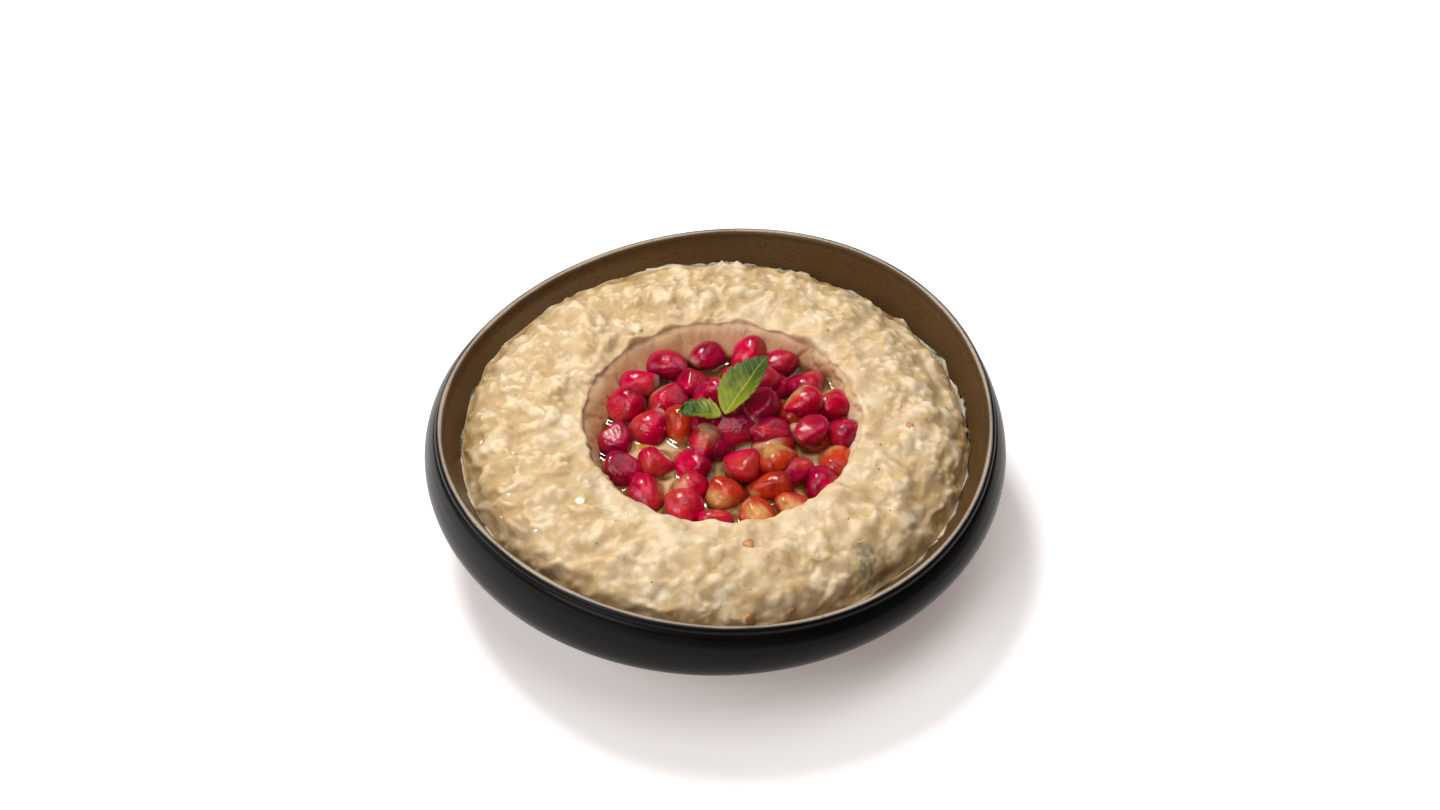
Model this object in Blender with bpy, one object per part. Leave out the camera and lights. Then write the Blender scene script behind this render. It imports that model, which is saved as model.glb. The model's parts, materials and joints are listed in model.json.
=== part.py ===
"""Baba ganoush in its serving bowl, modelled at real size.

The bowl is thick-walled stoneware with a waved rim, a rounded bead for a lip and a belly that
stands out below it. The dip is heaped as a ring with a well in the middle. Olive oil lies in the
well, pomegranate seeds are heaped in the oil, and two mint leaves stand on the seeds.

Units are metres with +Z up. The origin is the centre of the foot, on the table.
"""

import math
import random
from typing import NamedTuple

import bmesh
import bpy
from mathutils import Matrix, Vector, noise

MM = 0.001

# Clearance between pieces that touch
GAP = 0.35 * MM

# Bowl
BELLY_RADIUS = 75.6 * MM
BELLY_HEIGHT = 27.5 * MM
BELLY_ROUND = 8.0 * MM
RIM_HEIGHT = 37.5 * MM
RIM_WAVE = 3.0 * MM
RIM_LEAN = 0.8 * MM
RIM_LEAN_TOWARDS = math.radians(-42.0)
FOOT_RADIUS = 41.0 * MM
FOOT_WIDTH = 4.5 * MM
FOOT_RECESS = 1.5 * MM
LIP_RADIUS = 72.5 * MM
LIP_WIDTH = 2.4 * MM
FLOOR_HEIGHT = 7.0 * MM
FILL_HEIGHT = 29.0 * MM
FILL_RADIUS = 65.8 * MM
BOWL_STEPS = 64

# Dip
CREST_HEIGHT = 41.0 * MM
CREST_RADIUS = 45.0 * MM
SLOPE_STEPS = 7
WELL_CENTRE = Vector((1.8, -3.0, 0.0)) * MM
WELL_RADIUS = 35.6 * MM
WELL_FLOOR_RADIUS = 33.0 * MM
WELL_FLOOR = 32.0 * MM
WELL_EDGE_ROUND = 2.0 * MM
DIP_STEPS = 80
LUMP_HEIGHT = 1.8 * MM
LUMP_SIZE = 8.0 * MM

# Oil
OIL_LEVEL = 34.4 * MM
OIL_STEPS = 48

# Pomegranate seeds
SEED_SIZE = Vector((11.8, 9.2, 8.2)) * MM
SEED_MIDDLE = Vector((1.8, -1.6)) * MM
SEED_RINGS = ((18, 29.5), (12, 20.5), (6, 11.5), (2, 3.5))
TOP_SEED_RINGS = ((8, 14.0), (3, 5.0))
TOP_CENTRE = Vector((8.0, 0.0)) * MM
SEED_NUDGE = 1.8 * MM
SEED_PITCH = 8.9 * MM
SEED_REACH = 29.6 * MM
BARE_SPOT = Vector((-21.0, -5.0)) * MM
BARE_RADIUS = 6.0 * MM
STACKED_PITCH = 8.0 * MM
STACKED_SINK = 0.42
SETTLE_ROUNDS = 40
SEED_DRAW = 11
HEAP_RADIUS = 32.3 * MM
HEAP_BASE = 1.2 * MM
HEAP_RINGS = 16

# Mint
LEAF_THICKNESS = 0.5 * MM
LEAF_STATIONS = 9
SPRIG = Vector((2.0, -5.0)) * MM


class Seed(NamedTuple):
    """Where one pomegranate seed lies."""

    centre: Vector
    heading: float
    tilt: float


def clear_scene():
    """Remove every object that the file opened with."""
    for leftover in list(bpy.data.objects):
        bpy.data.objects.remove(leftover)


def material(name, colour, roughness, transmission=0.0):
    """A Principled material from a linear colour and two plain values."""
    made = bpy.data.materials.new(name)
    made.use_nodes = True
    shader = made.node_tree.nodes["Principled BSDF"]
    shader.inputs["Base Color"].default_value = (*colour, 1.0)
    shader.inputs["Roughness"].default_value = roughness
    shader.inputs["Metallic"].default_value = 0.0
    shader.inputs["Transmission Weight"].default_value = transmission
    return made


def add_object(name, shape, finish):
    """Turn a bmesh into a named, smooth-shaded object with one material."""
    bmesh.ops.recalc_face_normals(shape, faces=shape.faces[:])
    mesh = bpy.data.meshes.new(name)
    shape.to_mesh(mesh)
    shape.free()
    mesh.materials.append(finish)
    mesh.shade_smooth()
    mesh.set_sharp_from_angle(angle=math.radians(40))
    made = bpy.data.objects.new(name, mesh)
    bpy.context.scene.collection.objects.link(made)
    return made


def turned(profile, steps):
    """Spin a profile of (radius, height) about Z. Both of its ends lie on the axis."""
    shape = bmesh.new()
    points = [shape.verts.new((radius, 0.0, height)) for radius, height in profile]
    edges = [shape.edges.new(pair) for pair in zip(points, points[1:])]
    bmesh.ops.spin(
        shape,
        geom=points + edges,
        cent=(0.0, 0.0, 0.0),
        axis=(0.0, 0.0, 1.0),
        angle=2.0 * math.pi,
        steps=steps,
        use_merge=True,
    )
    bmesh.ops.remove_doubles(shape, verts=shape.verts[:], dist=0.01 * MM)
    return shape


def arc(centre, radius, start, end, steps):
    """Points of a round stretch of a profile, its angles in degrees."""
    angles = [math.radians(start + (end - start) * i / steps) for i in range(steps + 1)]
    return [(centre[0] + radius * math.cos(a), centre[1] + radius * math.sin(a)) for a in angles]


def sweep(start, pull, end, steps):
    """Points of a curve from start to end that leans towards pull, without its two ends."""
    points = []
    for i in range(1, steps):
        t = i / steps
        weights = ((1.0 - t) ** 2, 2.0 * t * (1.0 - t), t * t)
        points.append(tuple(sum(w * p[k] for w, p in zip(weights, (start, pull, end))) for k in (0, 1)))
    return points


def inner_wall(offset=0.0):
    """The bowl's inside below the fill line, from the wall down to the axis, moved in by offset."""
    steps = 6
    wall = []
    for i in range(steps + 1):
        share = i / steps
        angle = 0.5 * math.pi * share
        radius = FILL_RADIUS * (1.0 - 0.82 * (1.0 - math.cos(angle)))
        height = FILL_HEIGHT - (FILL_HEIGHT - FLOOR_HEIGHT) * math.sin(angle)
        wall.append((radius - offset * (1.0 - share), height + offset * min(1.0, 2.0 * share)))
    return wall + [(0.0, FLOOR_HEIGHT + offset)]


def outer_wall():
    """The bowl's outside at mean height, from the axis under the foot up to the lip's crease."""
    foot_inner = FOOT_RADIUS - FOOT_WIDTH
    foot = [
        (0.0, FOOT_RECESS),
        (foot_inner - 1.0 * MM, FOOT_RECESS),
        (foot_inner, 0.0),
        (FOOT_RADIUS - 0.6 * MM, 0.0),
        (FOOT_RADIUS, 0.8 * MM),
        (FOOT_RADIUS + 0.8 * MM, 3.0 * MM),
    ]
    belly = (BELLY_RADIUS - BELLY_ROUND, BELLY_HEIGHT)
    under = arc(belly, BELLY_ROUND, -48.0, 0.0, 4)
    pull = (under[0][0] - 11.0 * MM, under[0][1] - 10.0 * MM)
    shoulder = [
        (BELLY_RADIUS - 0.4 * MM, BELLY_HEIGHT + 2.6 * MM),
        (BELLY_RADIUS - 1.4 * MM, BELLY_HEIGHT + 5.4 * MM),
        (LIP_RADIUS + 0.5 * MM, RIM_HEIGHT - 2.5 * MM),
    ]
    return foot + sweep(foot[-1], pull, under[0], 5) + under + shoulder


def lip():
    """The rounded bead round the mouth, from its outer crease over the top to the inner shoulder."""
    bead = 0.5 * LIP_WIDTH
    centre = (LIP_RADIUS - bead, RIM_HEIGHT - bead)
    crease = [(LIP_RADIUS - 0.35 * MM, RIM_HEIGHT - 1.9 * MM)]
    shoulder = [(LIP_RADIUS - LIP_WIDTH - 0.4 * MM, RIM_HEIGHT - 2.0 * MM)]
    return crease + arc(centre, bead, 0.0, 180.0, 6) + shoulder


def wave_rim(shape):
    """Lift and lower the rim round the bowl. The belly and the fill line stay level."""
    start = FILL_HEIGHT - 2.0 * MM
    full = RIM_HEIGHT - 2.5 * MM
    for vertex in shape.verts:
        outside = math.hypot(vertex.co.x, vertex.co.y) > LIP_RADIUS - LIP_WIDTH
        low = start if outside else FILL_HEIGHT
        share = min(1.0, max(0.0, (vertex.co.z - low) / (full - low)))
        turn = math.atan2(vertex.co.y, vertex.co.x)
        wave = RIM_WAVE * math.sin(2.0 * turn) + RIM_LEAN * math.cos(turn - RIM_LEAN_TOWARDS)
        vertex.co.z += wave * share


def make_bowl():
    """The stoneware bowl, one solid of fired clay."""
    shape = turned(outer_wall() + lip() + inner_wall(), BOWL_STEPS)
    wave_rim(shape)
    glaze = material("charcoal_glaze", (0.012, 0.011, 0.010), 0.42)
    return add_object("bowl", shape, glaze)


def dip_slope():
    """The dip's outer slope: a quarter of a flattened round from the bowl's wall to the crest."""
    outer = FILL_RADIUS - GAP
    points = []
    for i in range(SLOPE_STEPS):
        angle = 0.5 * math.pi * i / SLOPE_STEPS
        run = (1.0 - math.cos(angle)) ** 0.8
        rise = math.sin(angle) ** 1.1
        points.append((outer - (outer - CREST_RADIUS) * run, FILL_HEIGHT + (CREST_HEIGHT - FILL_HEIGHT) * rise))
    return points


def dip_well():
    """The dip's inside, from the crest over the well's rounded edge to the well's floor."""
    edge_centre = (WELL_RADIUS + WELL_EDGE_ROUND, CREST_HEIGHT - WELL_EDGE_ROUND - 0.3 * MM)
    edge = arc(edge_centre, WELL_EDGE_ROUND, 90.0, 180.0, 2)
    wall = [(0.5 * (WELL_RADIUS + WELL_FLOOR_RADIUS), 0.5 * (OIL_LEVEL + edge_centre[1]))]
    floor = [(WELL_FLOOR_RADIUS, WELL_FLOOR), (0.5 * WELL_FLOOR_RADIUS, WELL_FLOOR)]
    return [(CREST_RADIUS, CREST_HEIGHT)] + edge + wall + floor + [(0.0, WELL_FLOOR)]


def make_dip():
    """The heaped dip, one solid down to the bowl's floor, its top lumpy from a spoon."""
    shape = turned(list(reversed(inner_wall(GAP)))[:-1] + dip_slope() + dip_well(), DIP_STEPS)
    for vertex in shape.verts:
        place = vertex.co
        radius = math.hypot(place.x, place.y)
        on_top = place.z > FILL_HEIGHT + 0.5 * MM
        rise = min(1.0, (place.z - FILL_HEIGHT) / (CREST_HEIGHT - FILL_HEIGHT))
        if on_top and radius > WELL_FLOOR_RADIUS + 0.5 * MM:
            lump = noise.fractal(place / LUMP_SIZE, 1.0, 2.0, 2) * min(1.0, 2.0 * rise)
            place.z += LUMP_HEIGHT * lump
            place.xy = place.xy * (1.0 - 0.6 * LUMP_HEIGHT * abs(lump) / radius)
        if on_top:
            place += WELL_CENTRE * (rise if radius > CREST_RADIUS else 1.0)
    cream = material("aubergine_cream", (0.71, 0.53, 0.32), 0.5)
    return add_object("baba_ganoush", shape, cream)


def make_oil():
    """Olive oil standing in the well, clear of the well's wall."""
    bottom = WELL_FLOOR + GAP
    profile = [
        (0.0, bottom),
        (WELL_FLOOR_RADIUS - 2.0 * GAP, bottom),
        (WELL_FLOOR_RADIUS - GAP, OIL_LEVEL),
        (0.0, OIL_LEVEL),
    ]
    shape = turned(profile, OIL_STEPS)
    bmesh.ops.translate(shape, vec=WELL_CENTRE, verts=shape.verts[:])
    gold = material("olive_oil", (0.62, 0.33, 0.03), 0.05, transmission=0.9)
    return add_object("olive_oil", shape, gold)


def ring_spots(rings, centre, draw):
    """Places on rings round a centre, each ring turned and each place nudged by chance."""
    spots = []
    for count, radius in rings:
        start = draw.uniform(0.0, 2.0 * math.pi)
        for i in range(count):
            turn = start + 2.0 * math.pi * i / count
            nudge = Vector((draw.uniform(-1.0, 1.0), draw.uniform(-1.0, 1.0))) * SEED_NUDGE
            spots.append(centre + Vector((math.cos(turn), math.sin(turn))) * radius * MM + nudge)
    return spots


def spread(spots, pitch):
    """Push spots apart to the pitch, away from the bare spot and in from the well's wall."""
    for _ in range(SETTLE_ROUNDS):
        for i, spot in enumerate(spots):
            others = [(other, pitch) for j, other in enumerate(spots) if j != i]
            for other, reach in others + [(BARE_SPOT, BARE_RADIUS)]:
                away = spot - other
                if 0.0 < away.length < reach:
                    spot += away.normalized() * 0.35 * (reach - away.length)
            off = spot - SEED_MIDDLE
            if off.length > SEED_REACH:
                spot -= off * (1.0 - SEED_REACH / off.length)
    return spots


def lay_seeds():
    """Every pomegranate seed: a layer spread over the well's floor, and some lying on top of it."""
    draw = random.Random(SEED_DRAW)
    floor = spread(ring_spots(SEED_RINGS, SEED_MIDDLE, draw), SEED_PITCH)
    top = spread(ring_spots(TOP_SEED_RINGS, TOP_CENTRE, draw), SEED_PITCH)
    seeds = []
    for spot in floor + top:
        height = WELL_FLOOR + 0.5 * SEED_SIZE.z
        for under in seeds:
            away = (under.centre - WELL_CENTRE).xy - spot
            if away.length < STACKED_PITCH:
                lift = math.sqrt(STACKED_PITCH**2 - away.length_squared)
                height = max(height, under.centre.z + STACKED_SINK * lift)
        centre = WELL_CENTRE + Vector((spot.x, spot.y, height))
        seeds.append(Seed(centre, draw.uniform(0.0, 2.0 * math.pi), math.radians(draw.uniform(-35.0, 35.0))))
    return seeds


def seed_frames(seeds):
    """For each seed, its centre and the matrix that turns its ellipsoid into a unit ball."""
    scale = Matrix.Diagonal([2.0 / side for side in SEED_SIZE])
    frames = []
    for seed in seeds:
        turn = Matrix.Rotation(seed.heading, 3, "Z") @ Matrix.Rotation(seed.tilt, 3, "Y")
        frames.append((seed.centre, scale @ turn.transposed()))
    return frames


def heap_height(x, y, frames, base):
    """The heap's upper surface at a place: the highest seed over it, or the base between seeds."""
    highest = base
    for centre, to_ball in frames:
        level = Vector((x - centre.x, y - centre.y, 0.0))
        if level.length > 0.5 * SEED_SIZE.x:
            continue
        start = to_ball @ level
        climb = to_ball @ Vector((0.0, 0.0, 1.0))
        slope = climb.dot(climb)
        reach = start.dot(climb)
        inside = reach * reach - slope * (start.dot(start) - 1.0)
        if inside > 0.0:
            highest = max(highest, centre.z + (math.sqrt(inside) - reach) / slope)
    return highest


def fine_disc(radius, rings):
    """A flat disc of even triangles: a hexagon divided in rows, with its sides swelled to a circle."""
    shape = bmesh.new()
    bmesh.ops.create_circle(shape, cap_ends=True, cap_tris=True, radius=radius, segments=6)
    bmesh.ops.subdivide_edges(shape, edges=shape.edges[:], cuts=rings - 1, use_grid_fill=True)
    sixth = math.pi / 3.0
    corner = min(math.atan2(v.co.y, v.co.x) % sixth for v in shape.verts if v.co.length > 0.99 * radius)
    for vertex in shape.verts:
        turn = (math.atan2(vertex.co.y, vertex.co.x) - corner) % sixth - 0.5 * sixth
        vertex.co *= math.cos(turn) / math.cos(0.5 * sixth)
    return shape


def make_heap(seeds):
    """The pomegranate seeds as one heap out to its uneven top, standing just clear of the oil."""
    bottom = OIL_LEVEL + GAP
    base = bottom + HEAP_BASE
    frames = seed_frames(seeds)
    shape = fine_disc(HEAP_RADIUS, HEAP_RINGS)
    bmesh.ops.translate(shape, vec=WELL_CENTRE, verts=shape.verts[:])
    for vertex in shape.verts:
        vertex.co.z = heap_height(vertex.co.x, vertex.co.y, frames, base)
    rim = [edge for edge in shape.edges if edge.is_boundary]
    skirt = bmesh.ops.extrude_edge_only(shape, edges=rim)["geom"]
    for vertex in [item for item in skirt if isinstance(item, bmesh.types.BMVert)]:
        vertex.co.z = bottom
    bmesh.ops.holes_fill(shape, edges=[edge for edge in shape.edges if edge.is_boundary], sides=0)
    crimson = material("pomegranate_flesh", (0.34, 0.003, 0.022), 0.12, transmission=0.3)
    return add_object("pomegranate_seeds", shape, crimson)


def leaf_half_width(share, width):
    """Half of a mint leaf's width at a share of its length: broad near the stalk, pointed at the tip."""
    return 0.5 * width * math.sin(math.pi * share**0.8) ** 0.8 + 0.25 * MM


def make_leaf(name, length, width, droop, fold, place, turn):
    """A mint leaf: a thin pointed blade, folded up along its vein and bent down along its length.

    droop and fold are shares: how far the tip falls of the length, and each side rises of its
    width."""
    shape = bmesh.new()
    bmesh.ops.create_grid(shape, x_segments=LEAF_STATIONS, y_segments=4, size=1.0)
    for vertex in shape.verts:
        share = 0.5 * (vertex.co.x + 1.0)
        across = vertex.co.y * leaf_half_width(min(max(share, 0.0), 1.0), width)
        sag = -droop * length * share * share
        vertex.co = Vector((length * share, across, sag + fold * abs(across)))
    bmesh.ops.recalc_face_normals(shape, faces=shape.faces[:])
    bmesh.ops.solidify(shape, geom=shape.faces[:], thickness=LEAF_THICKNESS)
    bmesh.ops.transform(shape, matrix=Matrix.Translation(place) @ turn, verts=shape.verts[:])
    green = material(name + "_green", (0.06, 0.13, 0.01), 0.45)
    return add_object(name, shape, green)


def leaf_turn(heading, pitch, roll):
    """The rotation that points a leaf along a heading, tips it up and rolls it, in degrees."""
    around_z = Matrix.Rotation(math.radians(heading), 4, "Z")
    around_y = Matrix.Rotation(math.radians(-pitch), 4, "Y")
    around_x = Matrix.Rotation(math.radians(roll), 4, "X")
    return around_z @ around_y @ around_x


def make_mint(seeds):
    """The sprig's two leaves, springing from one point on top of the seeds."""
    frames = seed_frames(seeds)
    reach = 5.0 * MM
    near = [Vector((dx, dy)) * reach for dx in (-1.0, 0.0, 1.0) for dy in (-1.0, 0.0, 1.0)]
    top = max(heap_height(SPRIG.x + step.x, SPRIG.y + step.y, frames, OIL_LEVEL) for step in near)
    large = Vector((SPRIG.x + 0.5 * MM, SPRIG.y + 0.5 * MM, top + 2.0 * GAP))
    small = Vector((SPRIG.x - 0.7 * MM, SPRIG.y - 0.4 * MM, top + 2.0 * GAP))
    make_leaf("mint_leaf_large", 19.0 * MM, 10.6 * MM, 0.06, 0.35, large, leaf_turn(54.0, 20.0, -14.0))
    make_leaf("mint_leaf_small", 10.5 * MM, 8.2 * MM, 0.08, 0.25, small, leaf_turn(168.0, 8.0, 10.0))


def main():
    """Build every piece of the dish."""
    clear_scene()
    make_bowl()
    make_dip()
    make_oil()
    seeds = lay_seeds()
    make_heap(seeds)
    make_mint(seeds)


main()
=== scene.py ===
"""Looks for baba ganoush in its stoneware bowl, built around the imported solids.

A fine bowl, a lumpy dip with a well, olive oil, pomegranate seeds, two mint leaves and small
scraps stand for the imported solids, which keep their collision. Every size and place is in
metres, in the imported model's own frame, with +Z up and the origin under the middle of the foot.
"""

from __future__ import annotations

import json
import logging
import math
import random
from collections.abc import Callable, Iterable
from dataclasses import dataclass, field
from enum import Enum
from typing import Any

import bmesh
import bpy
from mathutils import Matrix, Vector, noise
from mathutils.bvhtree import BVHTree

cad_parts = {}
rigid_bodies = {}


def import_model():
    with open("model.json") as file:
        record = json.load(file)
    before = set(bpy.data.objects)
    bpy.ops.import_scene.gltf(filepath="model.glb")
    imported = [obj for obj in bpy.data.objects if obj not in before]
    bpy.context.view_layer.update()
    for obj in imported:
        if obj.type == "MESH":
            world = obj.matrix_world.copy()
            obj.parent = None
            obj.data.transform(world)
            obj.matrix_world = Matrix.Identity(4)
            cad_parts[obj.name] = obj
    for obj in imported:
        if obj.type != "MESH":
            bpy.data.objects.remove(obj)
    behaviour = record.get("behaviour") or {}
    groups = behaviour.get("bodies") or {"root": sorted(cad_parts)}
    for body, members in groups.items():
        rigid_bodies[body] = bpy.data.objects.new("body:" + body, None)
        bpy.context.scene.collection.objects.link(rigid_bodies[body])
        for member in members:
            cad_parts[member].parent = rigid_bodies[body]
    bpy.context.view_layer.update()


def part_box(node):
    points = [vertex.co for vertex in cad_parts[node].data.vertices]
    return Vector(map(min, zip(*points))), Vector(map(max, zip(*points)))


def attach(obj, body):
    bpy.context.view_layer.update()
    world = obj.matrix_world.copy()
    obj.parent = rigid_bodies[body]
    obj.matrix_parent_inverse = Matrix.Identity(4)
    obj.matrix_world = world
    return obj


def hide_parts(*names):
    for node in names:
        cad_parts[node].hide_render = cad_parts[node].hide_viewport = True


for leftover in list(bpy.data.objects):
    bpy.data.objects.remove(leftover)
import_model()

LOG = logging.getLogger("baba_ganoush")
BODY = "root"
MM = 0.001
GAP = 0.35 * MM
ALONG = "along"
NOISE_SEED = 7


class Slot(Enum):
    """The record's material slots."""

    STONEWARE = "stoneware_glaze"
    MASH = "aubergine_cream"
    OIL = "olive_oil"
    FLESH = "pomegranate_flesh"
    MINT = "mint"


class Zone(Enum):
    """Which part of the dip's turned outline a station lies on."""

    UNDER = "under"
    FILM = "film"
    SLOPE = "slope"
    BROW = "brow"
    WALL = "wall"
    FLOOR = "floor"


class Ripeness(Enum):
    """How a pomegranate seed's juice looks: its red, and how much of the pale kernel shows."""

    DEEP = "deep"
    BRIGHT = "bright"
    AMBER = "amber"
    BLUSH = "blush"


# An outline is pairs of radius and height. A station adds its zone and how far along it lies.
Outline = list[tuple[float, float]]
Station = tuple[float, float, Zone, float]


def linear(code: str) -> tuple[float, float, float, float]:
    """Turn an sRGB hex colour into a linear one.

    Args:
        code: The colour as "#rrggbb".

    Returns:
        Red, green, blue and a full alpha.
    """
    shares = [int(code[i : i + 2], 16) / 255.0 for i in (1, 3, 5)]
    red, green, blue = (s / 12.92 if s <= 0.04045 else ((s + 0.055) / 1.055) ** 2.4 for s in shares)
    return red, green, blue, 1.0


def repeats(size: float) -> float:
    """The texture scale at which a pattern's features are about this many metres across."""
    return 1.0 / size


def smooth_step(value: float, low: float = 0.0, high: float = 1.0) -> float:
    """An S-curve from 0 at low to 1 at high, flat beyond them; high may be the smaller.

    Args:
        value: The number to place on the curve.
        low: Where the curve leaves 0.
        high: Where it reaches 1.

    Returns:
        A share from 0 to 1.
    """
    held = min(1.0, max(0.0, (value - low) / (high - low)))
    return held * held * (3.0 - 2.0 * held)


def soft_size(value: float) -> float:
    """How far a number is from 0, with the corner at 0 rounded off."""
    return math.hypot(value, 0.12)


def dome(place: Vector) -> float:
    """The height, from 0 to 1, of the round grain that a place lies on, with one grain a unit."""
    nearest = noise.voronoi(place)[0][0]
    return smooth_step(nearest, 0.62, 0.0)


def blend_colours(first: Iterable[float], second: Iterable[float], share: float) -> tuple[float, ...]:
    """Mix two colours, share being how much of the second there is.

    Args:
        first: The colour at 0.
        second: The colour at 1.
        share: From 0 to 1.

    Returns:
        The mixed colour.
    """
    return tuple(a + (b - a) * share for a, b in zip(first, second))


def arc(centre: tuple[float, float], radius: float, start: float, end: float, steps: int) -> Outline:
    """Points of a round stretch of a turned outline.

    Args:
        centre: Radius and height of the arc's centre.
        radius: The arc's own radius.
        start: First angle in degrees, 0 pointing away from the axis.
        end: Last angle in degrees.
        steps: How many straight steps it is cut into.

    Returns:
        The points.
    """
    angles = [math.radians(start + (end - start) * i / steps) for i in range(steps + 1)]
    return [(centre[0] + radius * math.cos(a), centre[1] + radius * math.sin(a)) for a in angles]


def divide(points: Outline, steps: list[int]) -> Outline:
    """Cut the straight runs between points into even steps.

    Args:
        points: The outline's corners.
        steps: How many steps each run takes.

    Returns:
        The points with the new ones between them.
    """
    made = []
    for first, second, count in zip(points, points[1:], steps):
        made += [tuple(a + (b - a) * i / count for a, b in zip(first, second)) for i in range(count)]
    return made + [points[-1]]


def turn_outline(points: Outline, steps: int, cuts: int) -> bmesh.types.BMesh:
    """Spin an outline about Z and divide its rings finely.

    Each point of the result keeps the number of its station in the float layer ALONG.

    Args:
        points: The outline, whose first and last points are on the axis.
        steps: Coarse steps of the spin.
        cuts: Cuts made in each coarse step.

    Returns:
        The closed shape.
    """
    shape = bmesh.new()
    along = shape.verts.layers.float.new(ALONG)
    stations = []
    for number, (radius, height) in enumerate(points):
        station = shape.verts.new((radius, 0.0, height))
        station[along] = float(number)
        stations.append(station)
    runs = [shape.edges.new(pair) for pair in zip(stations, stations[1:])]
    bmesh.ops.spin(
        shape,
        geom=stations + runs,
        cent=(0.0, 0.0, 0.0),
        axis=(0.0, 0.0, 1.0),
        angle=2.0 * math.pi,
        steps=steps,
        use_merge=True,
    )
    bmesh.ops.remove_doubles(shape, verts=shape.verts[:], dist=0.01 * MM)
    rings = [edge for edge in shape.edges if abs(edge.verts[0][along] - edge.verts[1][along]) < 0.5]
    bmesh.ops.subdivide_edges(shape, edges=rings, cuts=cuts, use_grid_fill=True)
    return shape


def publish(
    name: str,
    shape: bmesh.types.BMesh,
    finish: bpy.types.Material,
    stands_for: Iterable[str] = (),
) -> bpy.types.Object:
    """Make a finished piece of a bmesh, smooth-shaded and riding with the dish.

    Args:
        name: The piece's name.
        shape: Its mesh, in place. It is freed.
        finish: Its material.
        stands_for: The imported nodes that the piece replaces.

    Returns:
        The object, at the origin.
    """
    bmesh.ops.recalc_face_normals(shape, faces=shape.faces[:])
    mesh = bpy.data.meshes.new(name)
    shape.to_mesh(mesh)
    shape.free()
    mesh.materials.append(finish)
    mesh.shade_smooth()
    piece = bpy.data.objects.new(name, mesh)
    bpy.context.scene.collection.objects.link(piece)
    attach(piece, BODY)
    for node in stands_for:
        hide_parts(node)
    LOG.info("%s: %d faces", name, len(mesh.polygons))
    return piece


def feed(node: Any, feeds: dict[str | int, Any]) -> None:
    """Give a node's inputs their values and links.

    Args:
        node: The node.
        feeds: Input names or numbers, each with a value or with the socket that feeds it.
    """
    for socket, value in feeds.items():
        if isinstance(value, bpy.types.NodeSocket):
            node.id_data.links.new(value, node.inputs[socket])
        else:
            node.inputs[socket].default_value = value


def add_node(
    tree: bpy.types.NodeTree,
    kind: str,
    output: str | int,
    feeds: dict[str | int, Any] | None = None,
    **settings: Any,
) -> bpy.types.NodeSocket:
    """Add a node with its settings, its values and its links.

    Args:
        tree: The node tree it goes into.
        kind: The node's type name.
        output: The name or number of the output that is wanted.
        feeds: Input names or numbers, each with a value or with the socket that feeds it.
        settings: The node's own properties.

    Returns:
        The output.
    """
    node = tree.nodes.new(kind)
    for name, value in settings.items():
        setattr(node, name, value)
    feed(node, feeds or {})
    return node.outputs[output]


def start_material(name: str) -> tuple[bpy.types.Material, bpy.types.NodeTree, Any]:
    """Start a material whose Principled shader is wired to its output.

    Args:
        name: The material's name.

    Returns:
        The material, its tree and its shader node.
    """
    made = bpy.data.materials.new(name)
    made.use_nodes = True
    tree = made.node_tree
    return made, tree, tree.nodes["Principled BSDF"]


# How a Mix node's sockets are numbered for colours: factor, first, second and the result
MIX_FACTOR, MIX_FIRST, MIX_SECOND, MIX_COLOUR = 0, 6, 7, 2
COLOUR = {"data_type": "RGBA"}
EASED = {"interpolation_type": "SMOOTHSTEP"}

# The shares that the dip's points carry for its finish; the hollow, well and foot shares carry painted shade
DIP_MARKS = ("hollow", "well", "milky", "wet", "smoked", "foot_soak_and_shade")


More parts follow.
